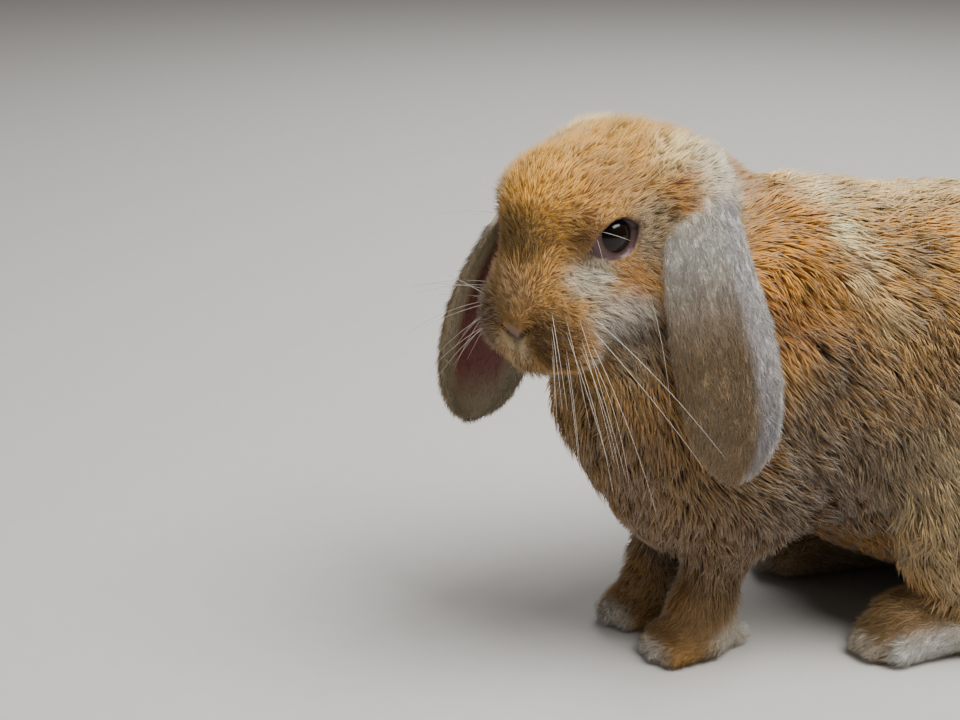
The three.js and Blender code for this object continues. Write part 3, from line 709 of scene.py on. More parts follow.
def toe_crease_shade(p):
    """Painted shade along the clefts between the toes: 1 along them, 0 a little to each side."""
    gap = np.full(len(p), 99.0)
    for side in (LEFT, RIGHT):
        x, y = FORE_AT[side]
        for i in range(3):
            dx = (FORE_TOES[i] + FORE_TOES[i + 1]) / 2
            reach = max(FORE_REACH[i], FORE_REACH[i + 1])
            gap = np.minimum(gap, rod(p, (x + dx, y + reach + 1, 3), (x + dx, y + reach + 13, 12), 0.1, 0.1))
            dx = (HIND_TOES[i] + HIND_TOES[i + 1]) / 2
            reach = max(HIND_REACH[i], HIND_REACH[i + 1])
            low, high = hind_point(side, dx, reach + 1, 3), hind_point(side, dx, reach + 15, 12)
            gap = np.minimum(gap, rod(p, low, high, 0.1, 0.1))
    return 1 - ramp(gap, 0.5, 1.9)


def face_colours(points, on_head):
    """Colours of the coat all over but the ears, with the bare lids and nose, painted shade in the nostrils,
    the cleft of the lip and the creases between the toes, and how bare each place is."""
    q = to_head(points)
    body = layered(both(points), BODY_COLOUR, BODY_MARKS)
    colour = mix(body, layered(both(q), HEAD_COLOUR, HEAD_MARKS), on_head[:, None])
    edge, out = lid_edge(q)
    at_lid = (1 - ramp(edge, 0.0, 0.9)) * ramp(out, 0, 3) * on_head
    nose = (1 - ramp(length((q - (0, -28, -34.6)) / (4.0, 6, 3.2)), 0.7, 1.1)) * on_head
    slit = (1 - ramp(nostril(both(q)), 0.1, 0.9)) * on_head
    cleft = (1 - ramp(rod(q, (0, -30, -37), (0, -27, -45), 0.9, 0.9), 0.2, 1.4)) * on_head
    grey = colour.mean(1)[:, None]
    colour = np.clip(grey + (colour - grey) * RICHNESS, 0.01, 1)
    colour = mix(colour, BARE_LID, at_lid[:, None])
    off_axis = np.sqrt(np.maximum(length(both(q) - EYE_AT)**2 - out**2, 0))
    eye_ring = 1 - ramp(off_axis, EYE_SHOWN, EYE_SHOWN + 1)
    colour = mix(colour, DARK_RIM_AND_CREASE_SHADE, (eye_ring * at_lid)[:, None])
    colour = mix(colour, BARE_NOSE, nose[:, None])
    # painted shade in the nostril slits and down the cleft of the lip
    colour = mix(colour, DARK_RIM_AND_CREASE_SHADE, np.maximum(0.75 * slit, 0.6 * cleft)[:, None])
    # painted shade in the creases between the toes
    colour = mix(colour, DARK_RIM_AND_CREASE_SHADE, 0.75 * toe_crease_shade(points)[:, None])
    return colour, np.maximum.reduce([at_lid, nose, slit])


def describe(points, faces):
    """What each vertex of the skin says about its place: which way it faces, how the coat lies, how deep and
    what colour it is, how bare it is, and where on an ear it is."""
    on_head = head_share(points)
    normal = corner_normals(points, faces)
    lie = lie_of_coat(points, on_head)
    depth = coat_depth(points)
    colour, bare = face_colours(points, on_head)
    ear = np.zeros(len(points))
    ear_share = np.zeros(len(points))
    ear_turn = np.zeros(len(points))
    for side in (LEFT, RIGHT):
        near = ear_form(points, side) < 2.5
        at = ear_places(points[near], side)
        weight = (1 - ramp(at.gap, 0.4, 2.2)) * ramp(at.share, 0.02, 0.12)
        inside = ramp(-at.height, 0.3, 0.9)
        colour[near] = mix(colour[near], ear_colours(at, side), weight[:, None])
        lie[near] = mix(lie[near], at.along, weight[:, None])
        hair = EAR_COAT * (1 - 0.4 * ramp(at.share, 0.85, 1.0))
        depth[near] = mix(depth[near], mix(hair, 0.8, inside), weight)
        middle = inside * (1 - ramp(np.abs(at.turn), 0.55, 0.95))
        bare[near] = np.maximum(bare[near], 0.8 * middle * weight)
        ear[near] = side * weight
        ear_share[near] = at.share
        ear_turn[near] = at.turn * 0.25 + np.where(at.height > 0, 0.25, 0.75)
    lie = unit(lie - (lie * normal).sum(1)[:, None] * normal)
    return SimpleNamespace(point=points, normal=normal, lie=lie, depth=depth, colour=colour, bare=bare,
                           on_head=on_head, ear=ear, ear_share=ear_share, ear_turn=ear_turn)


# ------------------------------------------------------------------ coat

LONG_TUFTS = 83000
SHORT_TUFTS = 112000
UNDER_TUFTS = 48000
MOST_TRIANGLES = 198000        # in one coat piece
SHORT_DEPTH = 4.5              # a thinner coat than this is made of straight tufts
TUFT_MIDDLE = 0.5              # where a long tuft bends, as a share of its run
FLOOR_GAP = 0.3                # least height of the coat over the floor
LOCK_SPREAD = 0.4              # distance between locks, as a share of the hair's length
LOCK_TILT = 0.19               # how much the locks, and the single tufts, stray from the lie
TUFT_TILT = 0.13
WAVES = 0.27                   # how much the whole coat waves, as a share of the lie
OVER_REACH = 0.2               # how far tips may pass the reach of the coat, and fall short of it, as shares
UNDER_REACH = 0.45             # of the coat's depth
EAR_CLEARANCE = 0.6            # least room between a tuft of the body and an ear
ON_EAR = 0.3                   # share of an ear from which a tuft is the ear's own
PATCH = 0.003                  # size of a tuft's patch on its piece's map


def hair_length(depth):
    return mix(1.25 * depth + 2.0, 2.6 * depth, ramp(depth, 3.4, 5.4))


def hair_width(depth):
    return 0.035 * hair_length(depth) + 0.14


def pick_roots(skin, faces, count, wanted):
    """Roots at random over the skin's triangles, closer together where the hair is finer, with what the
    skin says about each place. Only depths of coat between the two wanted ones are used."""
    triangles = np.vstack([faces[:, [0, 1, 2]], faces[:, [0, 2, 3]]])
    a, b, c = (skin.point[triangles[:, i]] for i in range(3))
    area = length(np.cross(b - a, c - a)) / 2
    depth = skin.depth[triangles].mean(1)
    bare = skin.bare[triangles].mean(1)
    sole = ramp(skin.point[triangles].mean(1)[:, 2], 1.7, 3.0)
    odds = area * (1 - bare) * mix(0.2, 1, sole) / (hair_length(depth) * hair_width(depth))
    odds *= (depth >= wanted[0]) & (depth < wanted[1])
    odds /= odds.sum()
    chosen = chance.choice(len(triangles), count, p=odds)
    u, v = np.sqrt(chance.random(count)), chance.random(count)
    weight = np.stack([1 - u, u * (1 - v), u * v], 1)
    corners = triangles[chosen]
    root = SimpleNamespace(density=count * odds[chosen] / area[chosen])
    for name, value in vars(skin).items():
        taken = value[corners]
        shape = weight[..., None] if taken.ndim == 3 else weight
        setattr(root, name, (taken * shape).sum(1))
    root.normal, root.lie = unit(root.normal), unit(root.lie)
    return root


def pick_locks(root):
    """Which tuft leads the lock that each one belongs to: the nearest of a scatter of leaders, whose distance
    apart is a share of the hair's length."""
    spread = LOCK_SPREAD * hair_length(root.depth)
    leader = np.flatnonzero(chance.random(len(spread)) < 1 / (root.density * spread**2))
    nearest = np.empty(len(spread), int)
    spots = root.point[leader].astype(np.float32)
    square = (spots**2).sum(1)
    for start in range(0, len(spread), 4000):
        block = root.point[start:start + 4000].astype(np.float32)
        nearest[start:start + 4000] = leader[(square - 2 * block @ spots.T).argmin(1)]
    return nearest


def grow(root, layer):
    """The root, middle and tip of every tuft, and its lock. A tuft leaves the skin, bends over along the lie
    to its own height, and leans with the others of its lock towards one tip."""
    count = len(root.depth)
    lead = pick_locks(root)
    lock = SimpleNamespace(tilt=chance.normal(size=(count, 3))[lead],
                           reach=chance.uniform(0.85, 1.15, count)[lead],
                           rise=chance.uniform(0.6, 1.05, count)[lead],
                           tint=chance.normal(size=count)[lead])
    waves = [ripple(root.point, 36, seed) + ripple(root.point, 14, seed + 20) for seed in (3, 4, 5)]
    way = root.lie + LOCK_TILT * lock.tilt + TUFT_TILT * chance.normal(size=(count, 3))
    way += WAVES * np.stack(waves, 1)
    way = unit(way - (way * root.normal).sum(1)[:, None] * root.normal)
    reach = hair_length(root.depth) * layer.reach * lock.reach * chance.uniform(0.6, 1.15, count)
    rise = root.depth * lock.rise * chance.uniform(0.6, 1.25, count) * layer.rise
    apart = root.point - root.point[lead]
    gather = mix(0.15, 0.3, ramp(root.depth, 2, 5))[:, None]
    flat = np.sqrt(np.maximum(reach**2 - rise**2, 0.2 * reach**2))[:, None]
    tip = root.point + way * flat - apart * gather + root.normal * rise[:, None]
    over = outer_form(tip) * (np.abs(root.ear) < 0.5)
    below = (1 - layer.rise) * root.depth
    wanted = np.clip(over, -UNDER_REACH * root.depth - below, OVER_REACH * root.depth - below)
    tip -= root.normal * np.clip(over - wanted, -12, 12)[:, None]
    middle = root.point + (tip - root.point) * TUFT_MIDDLE
    middle += root.normal * (0.25 * rise)[:, None] - apart * gather * 0.1
    ends = np.stack([root.point - root.normal * 0.3, middle, tip], 1)
    ends[..., 2] = np.maximum(ends[..., 2], FLOOR_GAP)
    return ends, lock


def clear_of_ears(ends, root):
    """True for the tufts of the ears themselves and for those whose middle and tip stay out of both ears."""
    gap = np.minimum.reduce([ear_form(ends[:, i], side) for side in (LEFT, RIGHT) for i in (1, 2)])
    return (np.abs(root.ear) > ON_EAR) | (gap > EAR_CLEARANCE)


def tuft_rings(ends, root, layer):
    """Points of every tuft: a ring of three at each station but the last, ridge outwards, and the tip. With
    the two sides in this order, the faces that are made of the points look inwards."""
    run = unit(ends[:, 2] - ends[:, 0])
    side = unit(np.cross(run, root.normal))
    top = np.cross(side, run)
    wide = hair_width(root.depth) * chance.uniform(0.7, 1.25, len(run)) * layer.width
    rings = []
    for at, share in layer.build.stations:
        half = (wide * share / 2)[:, None]
        rings += [ends[:, at] - side * half, ends[:, at] + side * half, ends[:, at] + top * half * 0.7]
    return np.stack([*rings, ends[:, 2]], 1)


LONG = SimpleNamespace(stations=((0, 0.8), (1, 1.0)),
                       faces=np.array([(0, 2, 1), (0, 1, 4), (0, 4, 3), (1, 2, 5), (1, 5, 4),
                                       (2, 0, 3), (2, 3, 5), (3, 4, 6), (4, 5, 6), (5, 3, 6)]),
                       across=np.array([0, 1, 0.5, 0, 1, 0.5, 0.5]),
                       along=np.array([0, 0, 0, TUFT_MIDDLE, TUFT_MIDDLE, TUFT_MIDDLE, 1]))
SHORT = SimpleNamespace(stations=((0, 1.0),),
                        faces=np.array([(0, 2, 1), (0, 1, 3), (1, 2, 3), (2, 0, 3)]),
                        across=np.array([0, 1, 0.5, 0.5]), along=np.array([0, 0, 0, 1]))


LOCK_TINT = 0.12
TUFT_TINT = 0.08
ROOT_SHADE, TIP_SHADE = 0.74, 1.08
DARK_TIPS, CREAM_TIPS = 0.05, 0.4        # shares of the tufts


def coat_colours(root, lock, along):
    """Colour at each point of a tuft: the marking, darker at the root, with a tint of the lock and of the
    hair, and tips that are dark on a few and cream on many."""
    count = len(root.depth)
    bright = 1 + LOCK_TINT * lock.tint + TUFT_TINT * chance.normal(size=count)
    bright *= 1 + 0.12 * ripple(root.point, 18, 8)
    warm = 0.04 * chance.normal(size=count) + 0.05 * ripple(root.point, 24, 9)
    base = root.colour * np.stack([bright * (1 + warm), bright, bright * (1 - warm)], 1)
    along = along[None, :, None]
    out = base[:, None] * mix(ROOT_SHADE, TIP_SHADE, ramp(along, 0.0, 0.8))
    kind = chance.random(count)[:, None, None]
    out = mix(out, out * 0.45, 0.5 * (kind < DARK_TIPS) * ramp(along, 0.5, 1.0))
    out = mix(out, np.maximum(out, CREAM_TIP), 0.4 * (kind > 1 - CREAM_TIPS) * ramp(along, 0.4, 1.0))
    return np.clip(out, 0.003, 0.9)


def coat_regions(root, layer):
    """The name of the coat piece that each root belongs to."""
    q = to_head(root.point)
    x, y, z = root.point.T
    hand = np.where(x > 0, "left", "right")
    face_hand = np.where(q[:, 0] > 0, "left", "right")
    name = np.char.add(np.where(y < 118, "coat_flank_", "coat_rump_"), hand)
    name = np.where((root.normal[:, 2] > 0.75) & (z > 120), "coat_back", name)
    name = np.where((y < 34) & (z > 60), "coat_chest", name)
    name = np.where((z < 60) & (y < 46), "coat_forelegs", name)
    head = root.on_head > 0.5
    if layer is UNDER:
        return np.char.add("undercoat_", hand)
    if layer is OVER:
        return np.where(head, np.char.add("coat_crown_", face_hand), name)
    name = np.where(y < 46, "coat_forefeet", "coat_hindfeet")
    name = np.where(head, np.char.add("coat_face_", face_hand), name)
    return np.where(np.abs(root.ear) > 0.5, "coat_ears", name)


def spread_flat(root, name):
    """Where each root lies on a flat spread of its region of the skin, from 0 to 1 both ways: ears by
    length and turn, legs and feet round upright axes, the chest round its front, and the rest of the body
    and the head round or along their length."""
    x, y, z = root.point.T
    if name == "coat_ears":
        u = (root.ear_turn + (root.ear > 0)) / 2
        v = root.ear_share
    elif name in ("coat_forelegs", "coat_forefeet", "coat_hindfeet"):
        middle = 92.0 if name == "coat_hindfeet" else 14.0
        across = np.abs(x + 3 * (name != "coat_hindfeet")) - 17.0
        turn = np.arctan2(y - middle, across * 2) / (2 * np.pi) + 0.5
        u = (turn + (x > 0)) / 2
        v = z + 0.25 * (y - middle) * (name == "coat_hindfeet")
    elif name.startswith(("coat_face", "coat_crown")):
        q = to_head(root.point)
        u = np.arctan2(q[:, 2] + 8, q[:, 0]) if "crown" in name else q[:, 2] + 0.3 * np.abs(q[:, 0])
        v = q[:, 1] + 0.6 * np.abs(q[:, 0]) * ("face" in name)
    else:
        u = np.arctan2(x, z - 95) if name != "coat_chest" else np.arctan2(x, 30 - y)
        v = y if name != "coat_chest" else z
    spread = []
    for value in (u, v):
        low, high = value.min(), value.max()
        spread.append(0.01 + 0.975 * (value - low) / max(high - low, 1e-6))
    return np.stack(spread, 1)


def take(bundle, chosen):
    return SimpleNamespace(**{name: value[chosen] for name, value in vars(bundle).items()})


# The layers of the coat: how their tufts are made and how many there are, the depths of coat they grow in,
# and their length, width and height as shares of the usual.
OVER = SimpleNamespace(build=LONG, count=LONG_TUFTS, depths=(SHORT_DEPTH, 99), reach=1, width=1, rise=1)
UNDER = SimpleNamespace(build=SHORT, count=UNDER_TUFTS, depths=(SHORT_DEPTH, 99), reach=0.7, width=1.9,
                        rise=0.6)
FINE = SimpleNamespace(build=SHORT, count=SHORT_TUFTS, depths=(0, SHORT_DEPTH), reach=1, width=1, rise=1)


def coat_pieces(skin, faces, material):
    """The coat, as one piece for each region of each layer."""
    for layer in (OVER, UNDER, FINE):
        root = pick_roots(skin, faces, layer.count, layer.depths)
        ends, lock = grow(root, layer)
        kept = clear_of_ears(ends, root)
        root, ends, lock = take(root, kept), ends[kept], take(lock, kept)
        points = tuft_rings(ends, root, layer)
        colours = coat_colours(root, lock, layer.build.along)
        regions = coat_regions(root, layer)
        for name in np.unique(regions):
            chosen = np.flatnonzero(regions == name)
            most = MOST_TRIANGLES // len(layer.build.faces)
            if len(chosen) > most:
                chosen = np.sort(chance.permutation(chosen)[:most])
            flat = spread_flat(take(root, chosen), name)
            coat_piece(str(name), points[chosen], colours[chosen], flat, layer.build, material)


def coat_piece(name, points, colours, flat, build, material):
    count, each = points.shape[:2]
    corners = (build.faces[None] + each * np.arange(count)[:, None, None]).reshape(-1, 3)
    obj = piece(name, points.reshape(-1, 3), corners, material)
    give_colour(obj, "coat", colours.reshape(-1, 3))
    patch = flat[:, None] + PATCH * np.stack([build.across, build.along], 1)
    uv = obj.data.uv_layers.new(name="OFBake")
    uv.uv.foreach_set("vector", patch.reshape(-1, 2)[corners.ravel()].astype(np.float32).ravel())


# ------------------------------------------------------------------ skin piece

def skin_lines():
    """Grid lines along x, y and z, close together over the face and wider over the body."""
    return (grid_line((-73, -54, 2.5), (-54, -32, 1.25), (-32, 46, 1.05), (46, 73, 1.25)),
            grid_line((-86, -76, 2.0), (-76, -24, 1.05), (-24, 26, 1.4), (26, 224, 2.6)),
            grid_line((-2, 80, 2.6), (80, 116, 1.4), (116, 198, 1.05), (198, 220, 2.0)))


def largest_part(points, faces):
    """The faces and points of the biggest connected part: labels spread over the edges until they settle."""
    label = np.arange(len(points))
    while True:
        least = label[faces].min(1)
        new = label.copy()
        for i in range(4):
            np.minimum.at(new, faces[:, i], least)
        new = new[new]
        if (new == label).all():
            break
        label = new
    kept = label == np.bincount(label).argmax()
    index = np.cumsum(kept) - 1
    return points[kept], index[faces[kept[faces[:, 0]]]]


def build_skin(material):
    points, faces = surface_nets(skin_form, skin_lines())
    points, faces = largest_part(points, faces)
    points = settled(skin_form, points, 0.35)
    skin = describe(points, faces)
    obj = piece("skin", points, faces, material)
    give_colour(obj, "coat", skin.colour)
    give_value(obj, "bare", skin.bare)
    paired = ("ear", "foreleg", "forefoot", "thigh", "hindfoot")
    flesh = ["head", "neck", "trunk", "tail", *(f"{part}_{word}" for part in paired for _, word in SIDES)]
    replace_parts(obj, *flesh)
    return skin, faces


# ------------------------------------------------------------------ eyes, claws and whiskers

def closed_rings(points):
    """Faces of a body given as an array (rings, points round, 3) whose first and last rings are drawn in
    to a point, or nearly: quads all over. A pole is closed where its doubled points can be merged."""
    rings, around = points.shape[:2]
    ring, turn = np.meshgrid(np.arange(rings - 1), np.arange(around), indexing="ij")
    after = (turn + 1) % around
    low, high = ring * around, (ring + 1) * around
    return np.stack([low + turn, low + after, high + after, high + turn], -1).reshape(-1, 4)


def merged(obj):
    """The piece with the doubled points of its poles made one."""
    bm = bmesh.new()
    bm.from_mesh(obj.data)
    bmesh.ops.remove_doubles(bm, verts=bm.verts, dist=1e-7)
    bmesh.ops.recalc_face_normals(bm, faces=bm.faces)
    bm.to_mesh(obj.data)
    bm.free()
    return obj


def eye_piece(side, word, material):
    """A globe whose front stands out in a low dome: the radius goes by the angle from where the eye looks."""
    polar = np.linspace(0, np.pi, 41)[:, None]
    turn = np.linspace(0, 2 * np.pi, 64, endpoint=False)[None]
    radius = EYE_RADIUS * (1 + 0.035 * np.exp(-(polar / 0.62)**4)) * (1 - 0.01 * ramp(polar, 0.5, 1.2))
    out = EYE_OUT * [side, 1, 1]
    one = unit(np.cross(out, [0.0, 0.0, 1.0]))
    two = np.cross(out, one)
    local = (out * np.cos(polar)[..., None]
             + (one * np.cos(turn)[..., None] + two * np.sin(turn)[..., None]) * np.sin(polar)[..., None])
    points = EYE_AT * [side, 1, 1] + local * radius[..., None]
    obj = piece(f"eyeball_{word}", from_head(points.reshape(-1, 3)), closed_rings(points), material)
    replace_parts(merged(obj), f"eye_{word}")
    return obj


def curved_cone(start, way, reach, thick, droop, rings=9, around=10, tip=0.06):
    """Rings of a cone that bends down: the centre goes along way and falls by droop times the square of the
    share run, while the radius shrinks with the share run to the power 1.4. The end rings are a thousandth
    of that, which leaves the root open by a few micrometres at most, too wide to be merged."""
    way = unit(np.asarray(way, float))
    across = unit(np.cross([0.0, 0.0, 1.0], way))
    up = np.cross(way, across)
    t = np.linspace(0, 1, rings)[:, None, None]
    turn = np.linspace(0, 2 * np.pi, around, endpoint=False)[None, :, None]
    centre = np.asarray(start, float) + way * reach * t - up * droop * t**2
    radius = mix(thick, tip, t**1.4)
    radius = radius * np.concatenate([[0.001], np.ones(rings - 2), [0.001]])[:, None, None]
    return centre + radius * (across * 0.75 * np.cos(turn) + up * np.sin(turn))


def joined(name, bodies, material):
    """Several bodies of rings as one piece."""
    points, faces, start = [], [], 0
    for body in bodies:
        faces.append(closed_rings(body) + start)
        points.append(body.reshape(-1, 3))
        start += len(points[-1])
    return merged(piece(name, np.vstack(points), np.vstack(faces), material))


CLAW_LENGTH, CLAW_THICK, CLAW_DROOP = 8, 1.45, 1.3
DEW_CLAW_LENGTH, DEW_CLAW_THICK, DEW_CLAW_DROOP = 5.5, 1.2, 1.0


def claw_pieces(material):
    """The claws of each foot, growing from inside the tips of the toes."""
    for side, word in SIDES:
        x, y = FORE_AT[side]
        fore = [curved_cone((x + dx, y + reach + 9, 4.2), (0.03 * dx, -1, -0.2),
                            CLAW_LENGTH, CLAW_THICK, CLAW_DROOP)
                for dx, reach in zip(FORE_TOES, FORE_REACH)]
        fore.append(curved_cone((x - side * 9.5, y - 1, 11), (-side * 0.3, -1, -0.5),
                                DEW_CLAW_LENGTH, DEW_CLAW_THICK, DEW_CLAW_DROOP))
        names = [f"claw_fore_{word}_{i}" for i in (1, 2, 3, 4)] + [f"claw_dew_{word}"]
        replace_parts(joined(f"foreclaws_{word}", fore, material), *names)
        hind = []
        for dx, reach in zip(HIND_TOES, HIND_REACH):
            start = hind_point(side, dx, reach + 9, 4.6)
            way = hind_point(side, 1.05 * dx, reach - 5, 4) - start
            hind.append(curved_cone(start, way, CLAW_LENGTH, CLAW_THICK, CLAW_DROOP))
        names = [f"claw_hind_{word}_{i}" for i in (1, 2, 3, 4)]
        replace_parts(joined(f"hindclaws_{word}", hind, material), *names)


WHISKER_ROWS = 4
WHISKERS_IN_ROW = 4
WHISKER_THICK = 0.1       # radius at the root
WHISKER_TIP = 0.03
WHISKER_PAD = SimpleNamespace(out=(19, 27), back=(-27, -16), up=(-24, -38))
# How the whiskers of each side stand: those of the left pad are let down, those of the right one are spread.
# More hairs stand over and before the eyes: (root, way, length) in the head's frame of the left side.
WHISKER_POSE = {
    LEFT: SimpleNamespace(out=0.5, back=(-0.3, 0.22), down=(-0.65, -1.15), reach=(44, 80), more=(
        ((22.5, -11, 5), (0.7, 0.75, -0.15), 15), ((22.5, -11, 4), (0.45, 0.1, -0.85), 13),
        ((31, 8, -19), (0.32, 0.1, -0.9), 46))),
    RIGHT: SimpleNamespace(out=1.0, back=(-0.18, 0.12), down=(-0.05, -0.85), reach=(44, 59), more=(
        ((14, -24, 15), (1.0, -0.1, 0.3), 50), ((15, -24, 10), (1.0, -0.15, 0.1), 44),
        ((15, -24, 6), (1.0, -0.2, -0.05), 30))),
}


def whisker_rods():
    """Long hairs from the whisker pads in rows, and a few more: thin cones in the head's frame for the left
    side, mirrored for the right one, that set off and droop."""
    bodies = []
    for side, pose in WHISKER_POSE.items():
        hairs = [(at, way, reach, 0.12 * reach) for at, way, reach in pose.more]
        for row in np.linspace(0, 1, WHISKER_ROWS):
            for back in np.linspace(0, 1, WHISKERS_IN_ROW):
                at = (mix(*WHISKER_PAD.out, back), mix(*WHISKER_PAD.back, back), mix(*WHISKER_PAD.up, row))
                way = np.array([pose.out, mix(*pose.back, back), mix(*pose.down, row)])
                reach = mix(*pose.reach, back) * chance.uniform(0.7, 1.0)
                way += chance.normal(size=3) * 0.15
                hairs.append((at, way, reach, reach * chance.uniform(0.05, 0.2)))
        for at, way, reach, droop in hairs:
            start = np.array(at) - 2 * unit(np.array(way))
            body = curved_cone(start, way, reach, WHISKER_THICK, droop, 14, 5, WHISKER_TIP)
            bodies.append(from_head(body.reshape(-1, 3) * [side, 1, 1]).reshape(body.shape)[:, ::side])
    return bodies


# ------------------------------------------------------------------ materials

class Value:
    """A shader socket that can be written in sums: each operator adds its Math node."""

    def __init__(self, nodes, socket):
        self.nodes, self.socket = nodes, socket

    def _math(self, operation, *values):
        return self.nodes.add("Math", {"operation": operation}, *values)

    def __add__(self, other):
        return self._math("ADD", self, other)

    __radd__ = __add__

    def __rsub__(self, other):
        return self._math("SUBTRACT", other, self)

    def __mul__(self, other):
        return self._math("MULTIPLY", self, other)

    __rmul__ = __mul__


class Nodes:
    """The node tree of one material."""

    def __init__(self, name):
        self.material = bpy.data.materials.new(name)
        self.material.use_nodes = True
        self.tree = self.material.node_tree
        self.shader = self.tree.nodes["Principled BSDF"]

    def add(self, kind, settings=None, *values, sockets=None, output=0):
        """A node of a kind with its settings, then values or links for its first sockets in order, and for
        others by place or name."""
        node = self.tree.nodes.new("ShaderNode" + kind)
        for key, value in (settings or {}).items():
            setattr(node, key, value)
        for key, value in {**dict(enumerate(values)), **(sockets or {})}.items():
            self.give(node.inputs[key], value)
        return Value(self, node.outputs[output])

    def give(self, socket, value):
        if isinstance(value, Value):
            self.tree.links.new(value.socket, socket)
        else:
            socket.default_value = value

    def set(self, **sockets):
        """Values or links for the shader's own sockets."""
        for key, value in sockets.items():
            self.give(self.shader.inputs[key.replace("_", " ")], value)
        return self.material

    def noise(self, size, detail):
        """Noise on the object's own places, of features about a size in metres."""
        place = self.add("TexCoord", output="Object")
        sockets = {"Vector": place, "Scale": 1 / size, "Detail": detail}
        return self.add("TexNoise", sockets=sockets, output="Fac")

    def mixed(self, share, one, two, blend="MIX"):
        """Two colours mixed by a share."""
        settings = {"data_type": "RGBA", "blend_type": blend}
        return self.add("Mix", settings, sockets={0: share, 6: one, 7: two}, output=2)

    def attribute(self, name, output="Color"):
        return self.add("Attribute", {"attribute_name": name}, output=output)

    def bump(self, height, depth, strength):
        return self.add("Bump", sockets={"Height": height, "Distance": depth, "Strength": strength})


def rgba(colour):
    return (*colour, 1.0)


def coat_material():
    """Hair: the tufts' own colour with a fine uneven tint, dull with a slight gleam."""
    n = Nodes("coat")
    fleck = n.noise(0.0006, 2.0)
    double = fleck * 2
    grey = n.add("CombineColor", None, double, double, double)
    shade = n.mixed(0.35, n.attribute("coat"), grey, "MULTIPLY")
    return n.set(Base_Color=shade, Roughness=0.7 + fleck * 0.2, Specular_IOR_Level=0.2, Sheen_Weight=0.25)


def skin_material():
    """Short underfur over the skin, darker than the coat with fine noise: partly the underfur's own colour
    and partly painted shade under the tufts. Smooth and moist where it is bare.
    """
    n = Nodes("skin")
    bare = n.attribute("bare", "Fac")
    hairs = n.noise(0.0007, 3.0)
    pores = n.noise(0.0012, 4.0)
    colour = n.attribute("coat")
    # the underfur darkened by fine noise: partly its own colour and partly painted shade
    under = n.mixed(0.55, colour, n.add("CombineColor", None, hairs, hairs, hairs), "MULTIPLY")
    colour = n.mixed(bare, under, colour)
    height = hairs * (1 - bare) + pores * bare * 0.4
    return n.set(Base_Color=colour, Roughness=0.8 - bare * 0.32, Normal=n.bump(height, 0.0006, 0.7))


def eye_material():
    """Almost black brown under a wet surface, with faint streaks a little lighter."""
    n = Nodes("wet eye")
    streak = n.noise(0.0009, 3.0)
    colour = n.mixed(streak, rgba(paint("080504")), rgba(paint("140b08")))
    return n.set(Base_Color=colour, Roughness=0.12 + streak * 0.05, Specular_IOR_Level=0.25, Coat_Weight=0.12,
                 Coat_Roughness=0.02)


def claw_material():
    """Dull dark horn with faint streaks."""
    n = Nodes("horn")
    streak = n.noise(0.0008, 4.0)
    colour = n.mixed(streak, rgba(paint("3b2d24")), rgba(paint("7a6858")))
    return n.set(Base_Color=colour, Roughness=0.35 + streak * 0.2, Normal=n.bump(streak, 0.0002, 0.4))


def whisker_material():
    """White hair, a little darker here and there."""
    n = Nodes("whisker")
    streak = n.noise(0.004, 2.0)
    colour = n.mixed(streak, rgba(paint("f2eee6")), rgba(paint("cfc6b8")))
    return n.set(Base_Color=colour, Roughness=0.35 + streak * 0.1)


def floor_material():
    n = Nodes("pale floor")
    grain = n.noise(0.01, 5.0)
    colour = n.mixed(grain, rgba((0.50, 0.49, 0.48)), rgba((0.54, 0.53, 0.52)))
    return n.set(Base_Color=colour, Roughness=0.85)


# ------------------------------------------------------------------ floor, light and camera

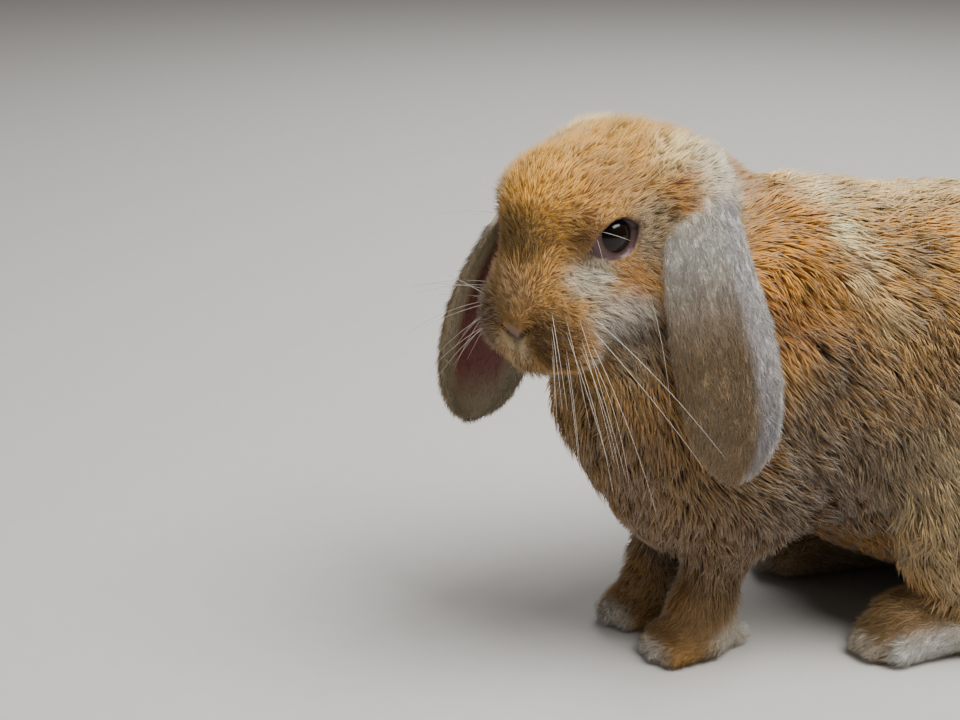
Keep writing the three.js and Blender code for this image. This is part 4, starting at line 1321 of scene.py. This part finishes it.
CAMERA_AT = np.array([580.92, -285.40, 344.0])       # shaping frame, millimetres
CAMERA_LOOKS = (-0.8869, 0.3228, -0.3305)
LENS_MM = 67.5
FLOOR_HALF = 6.0                                     # metres, as the places and sizes of the lamps are
SKY_COLOUR = (1.0, 0.98, 0.95, 1)
SKY_STRENGTH = 0.09
LAMPS = (                                            # name, place, width, watts, colour
    ("key", (0.5, 0.3, 1.4), 1.0, 48.0, (1.0, 0.975, 0.92)),
    ("side", (0.3, -1.4, 0.9), 1.0, 3.0, (1.0, 0.98, 0.96)),
    ("back", (-1.0, 0.5, 1.0), 0.8, 9.0, (1.0, 0.98, 0.95)),
)


def floor_and_light():
    corners = [(x * FLOOR_HALF, y * FLOOR_HALF, 0) for x, y in ((-1, -1), (1, -1), (1, 1), (-1, 1))]
    mesh = bpy.data.meshes.new("floor")
    mesh.from_pydata(corners, [], [(0, 1, 2, 3)])
    mesh.materials.append(floor_material())
    floor = bpy.data.objects.new("floor", mesh)
    bpy.context.scene.collection.objects.link(floor)
    world = bpy.data.worlds.new("soft sky")
    world.use_nodes = True
    sky = world.node_tree.nodes["Background"]
    sky.inputs["Color"].default_value = SKY_COLOUR
    sky.inputs["Strength"].default_value = SKY_STRENGTH
    bpy.context.scene.world = world
    for name, at, size, power, colour in LAMPS:
        light = bpy.data.lights.new(name, "AREA")
        light.size, light.energy, light.color = size, power, colour
        lamp = bpy.data.objects.new(name, light)
        lamp.location = at
        lamp.rotation_euler = (Vector((0, 0, 0.1)) - Vector(at)).to_track_quat("-Z", "Y").to_euler()
        bpy.context.scene.collection.objects.link(lamp)


def make_camera():
    lens = bpy.data.cameras.new("camera")
    lens.lens, lens.sensor_width = LENS_MM, 36.0
    lens.clip_start, lens.clip_end = 0.01, 50.0
    camera = bpy.data.objects.new("camera", lens)
    camera.location = to_frame(CAMERA_AT)
    camera.rotation_euler = Vector(CAMERA_LOOKS).to_track_quat("-Z", "Y").to_euler()
    bpy.context.scene.collection.objects.link(camera)
    bpy.context.scene.camera = camera


SHIFT = find_shift()
skin, skin_faces = build_skin(skin_material())
coat_pieces(skin, skin_faces, coat_material())
eye_look, claw_look = eye_material(), claw_material()
for hand, word in SIDES:
    eye_piece(hand, word, eye_look)
claw_pieces(claw_look)
joined("whiskers", whisker_rods(), whisker_material())
floor_and_light()
make_camera()
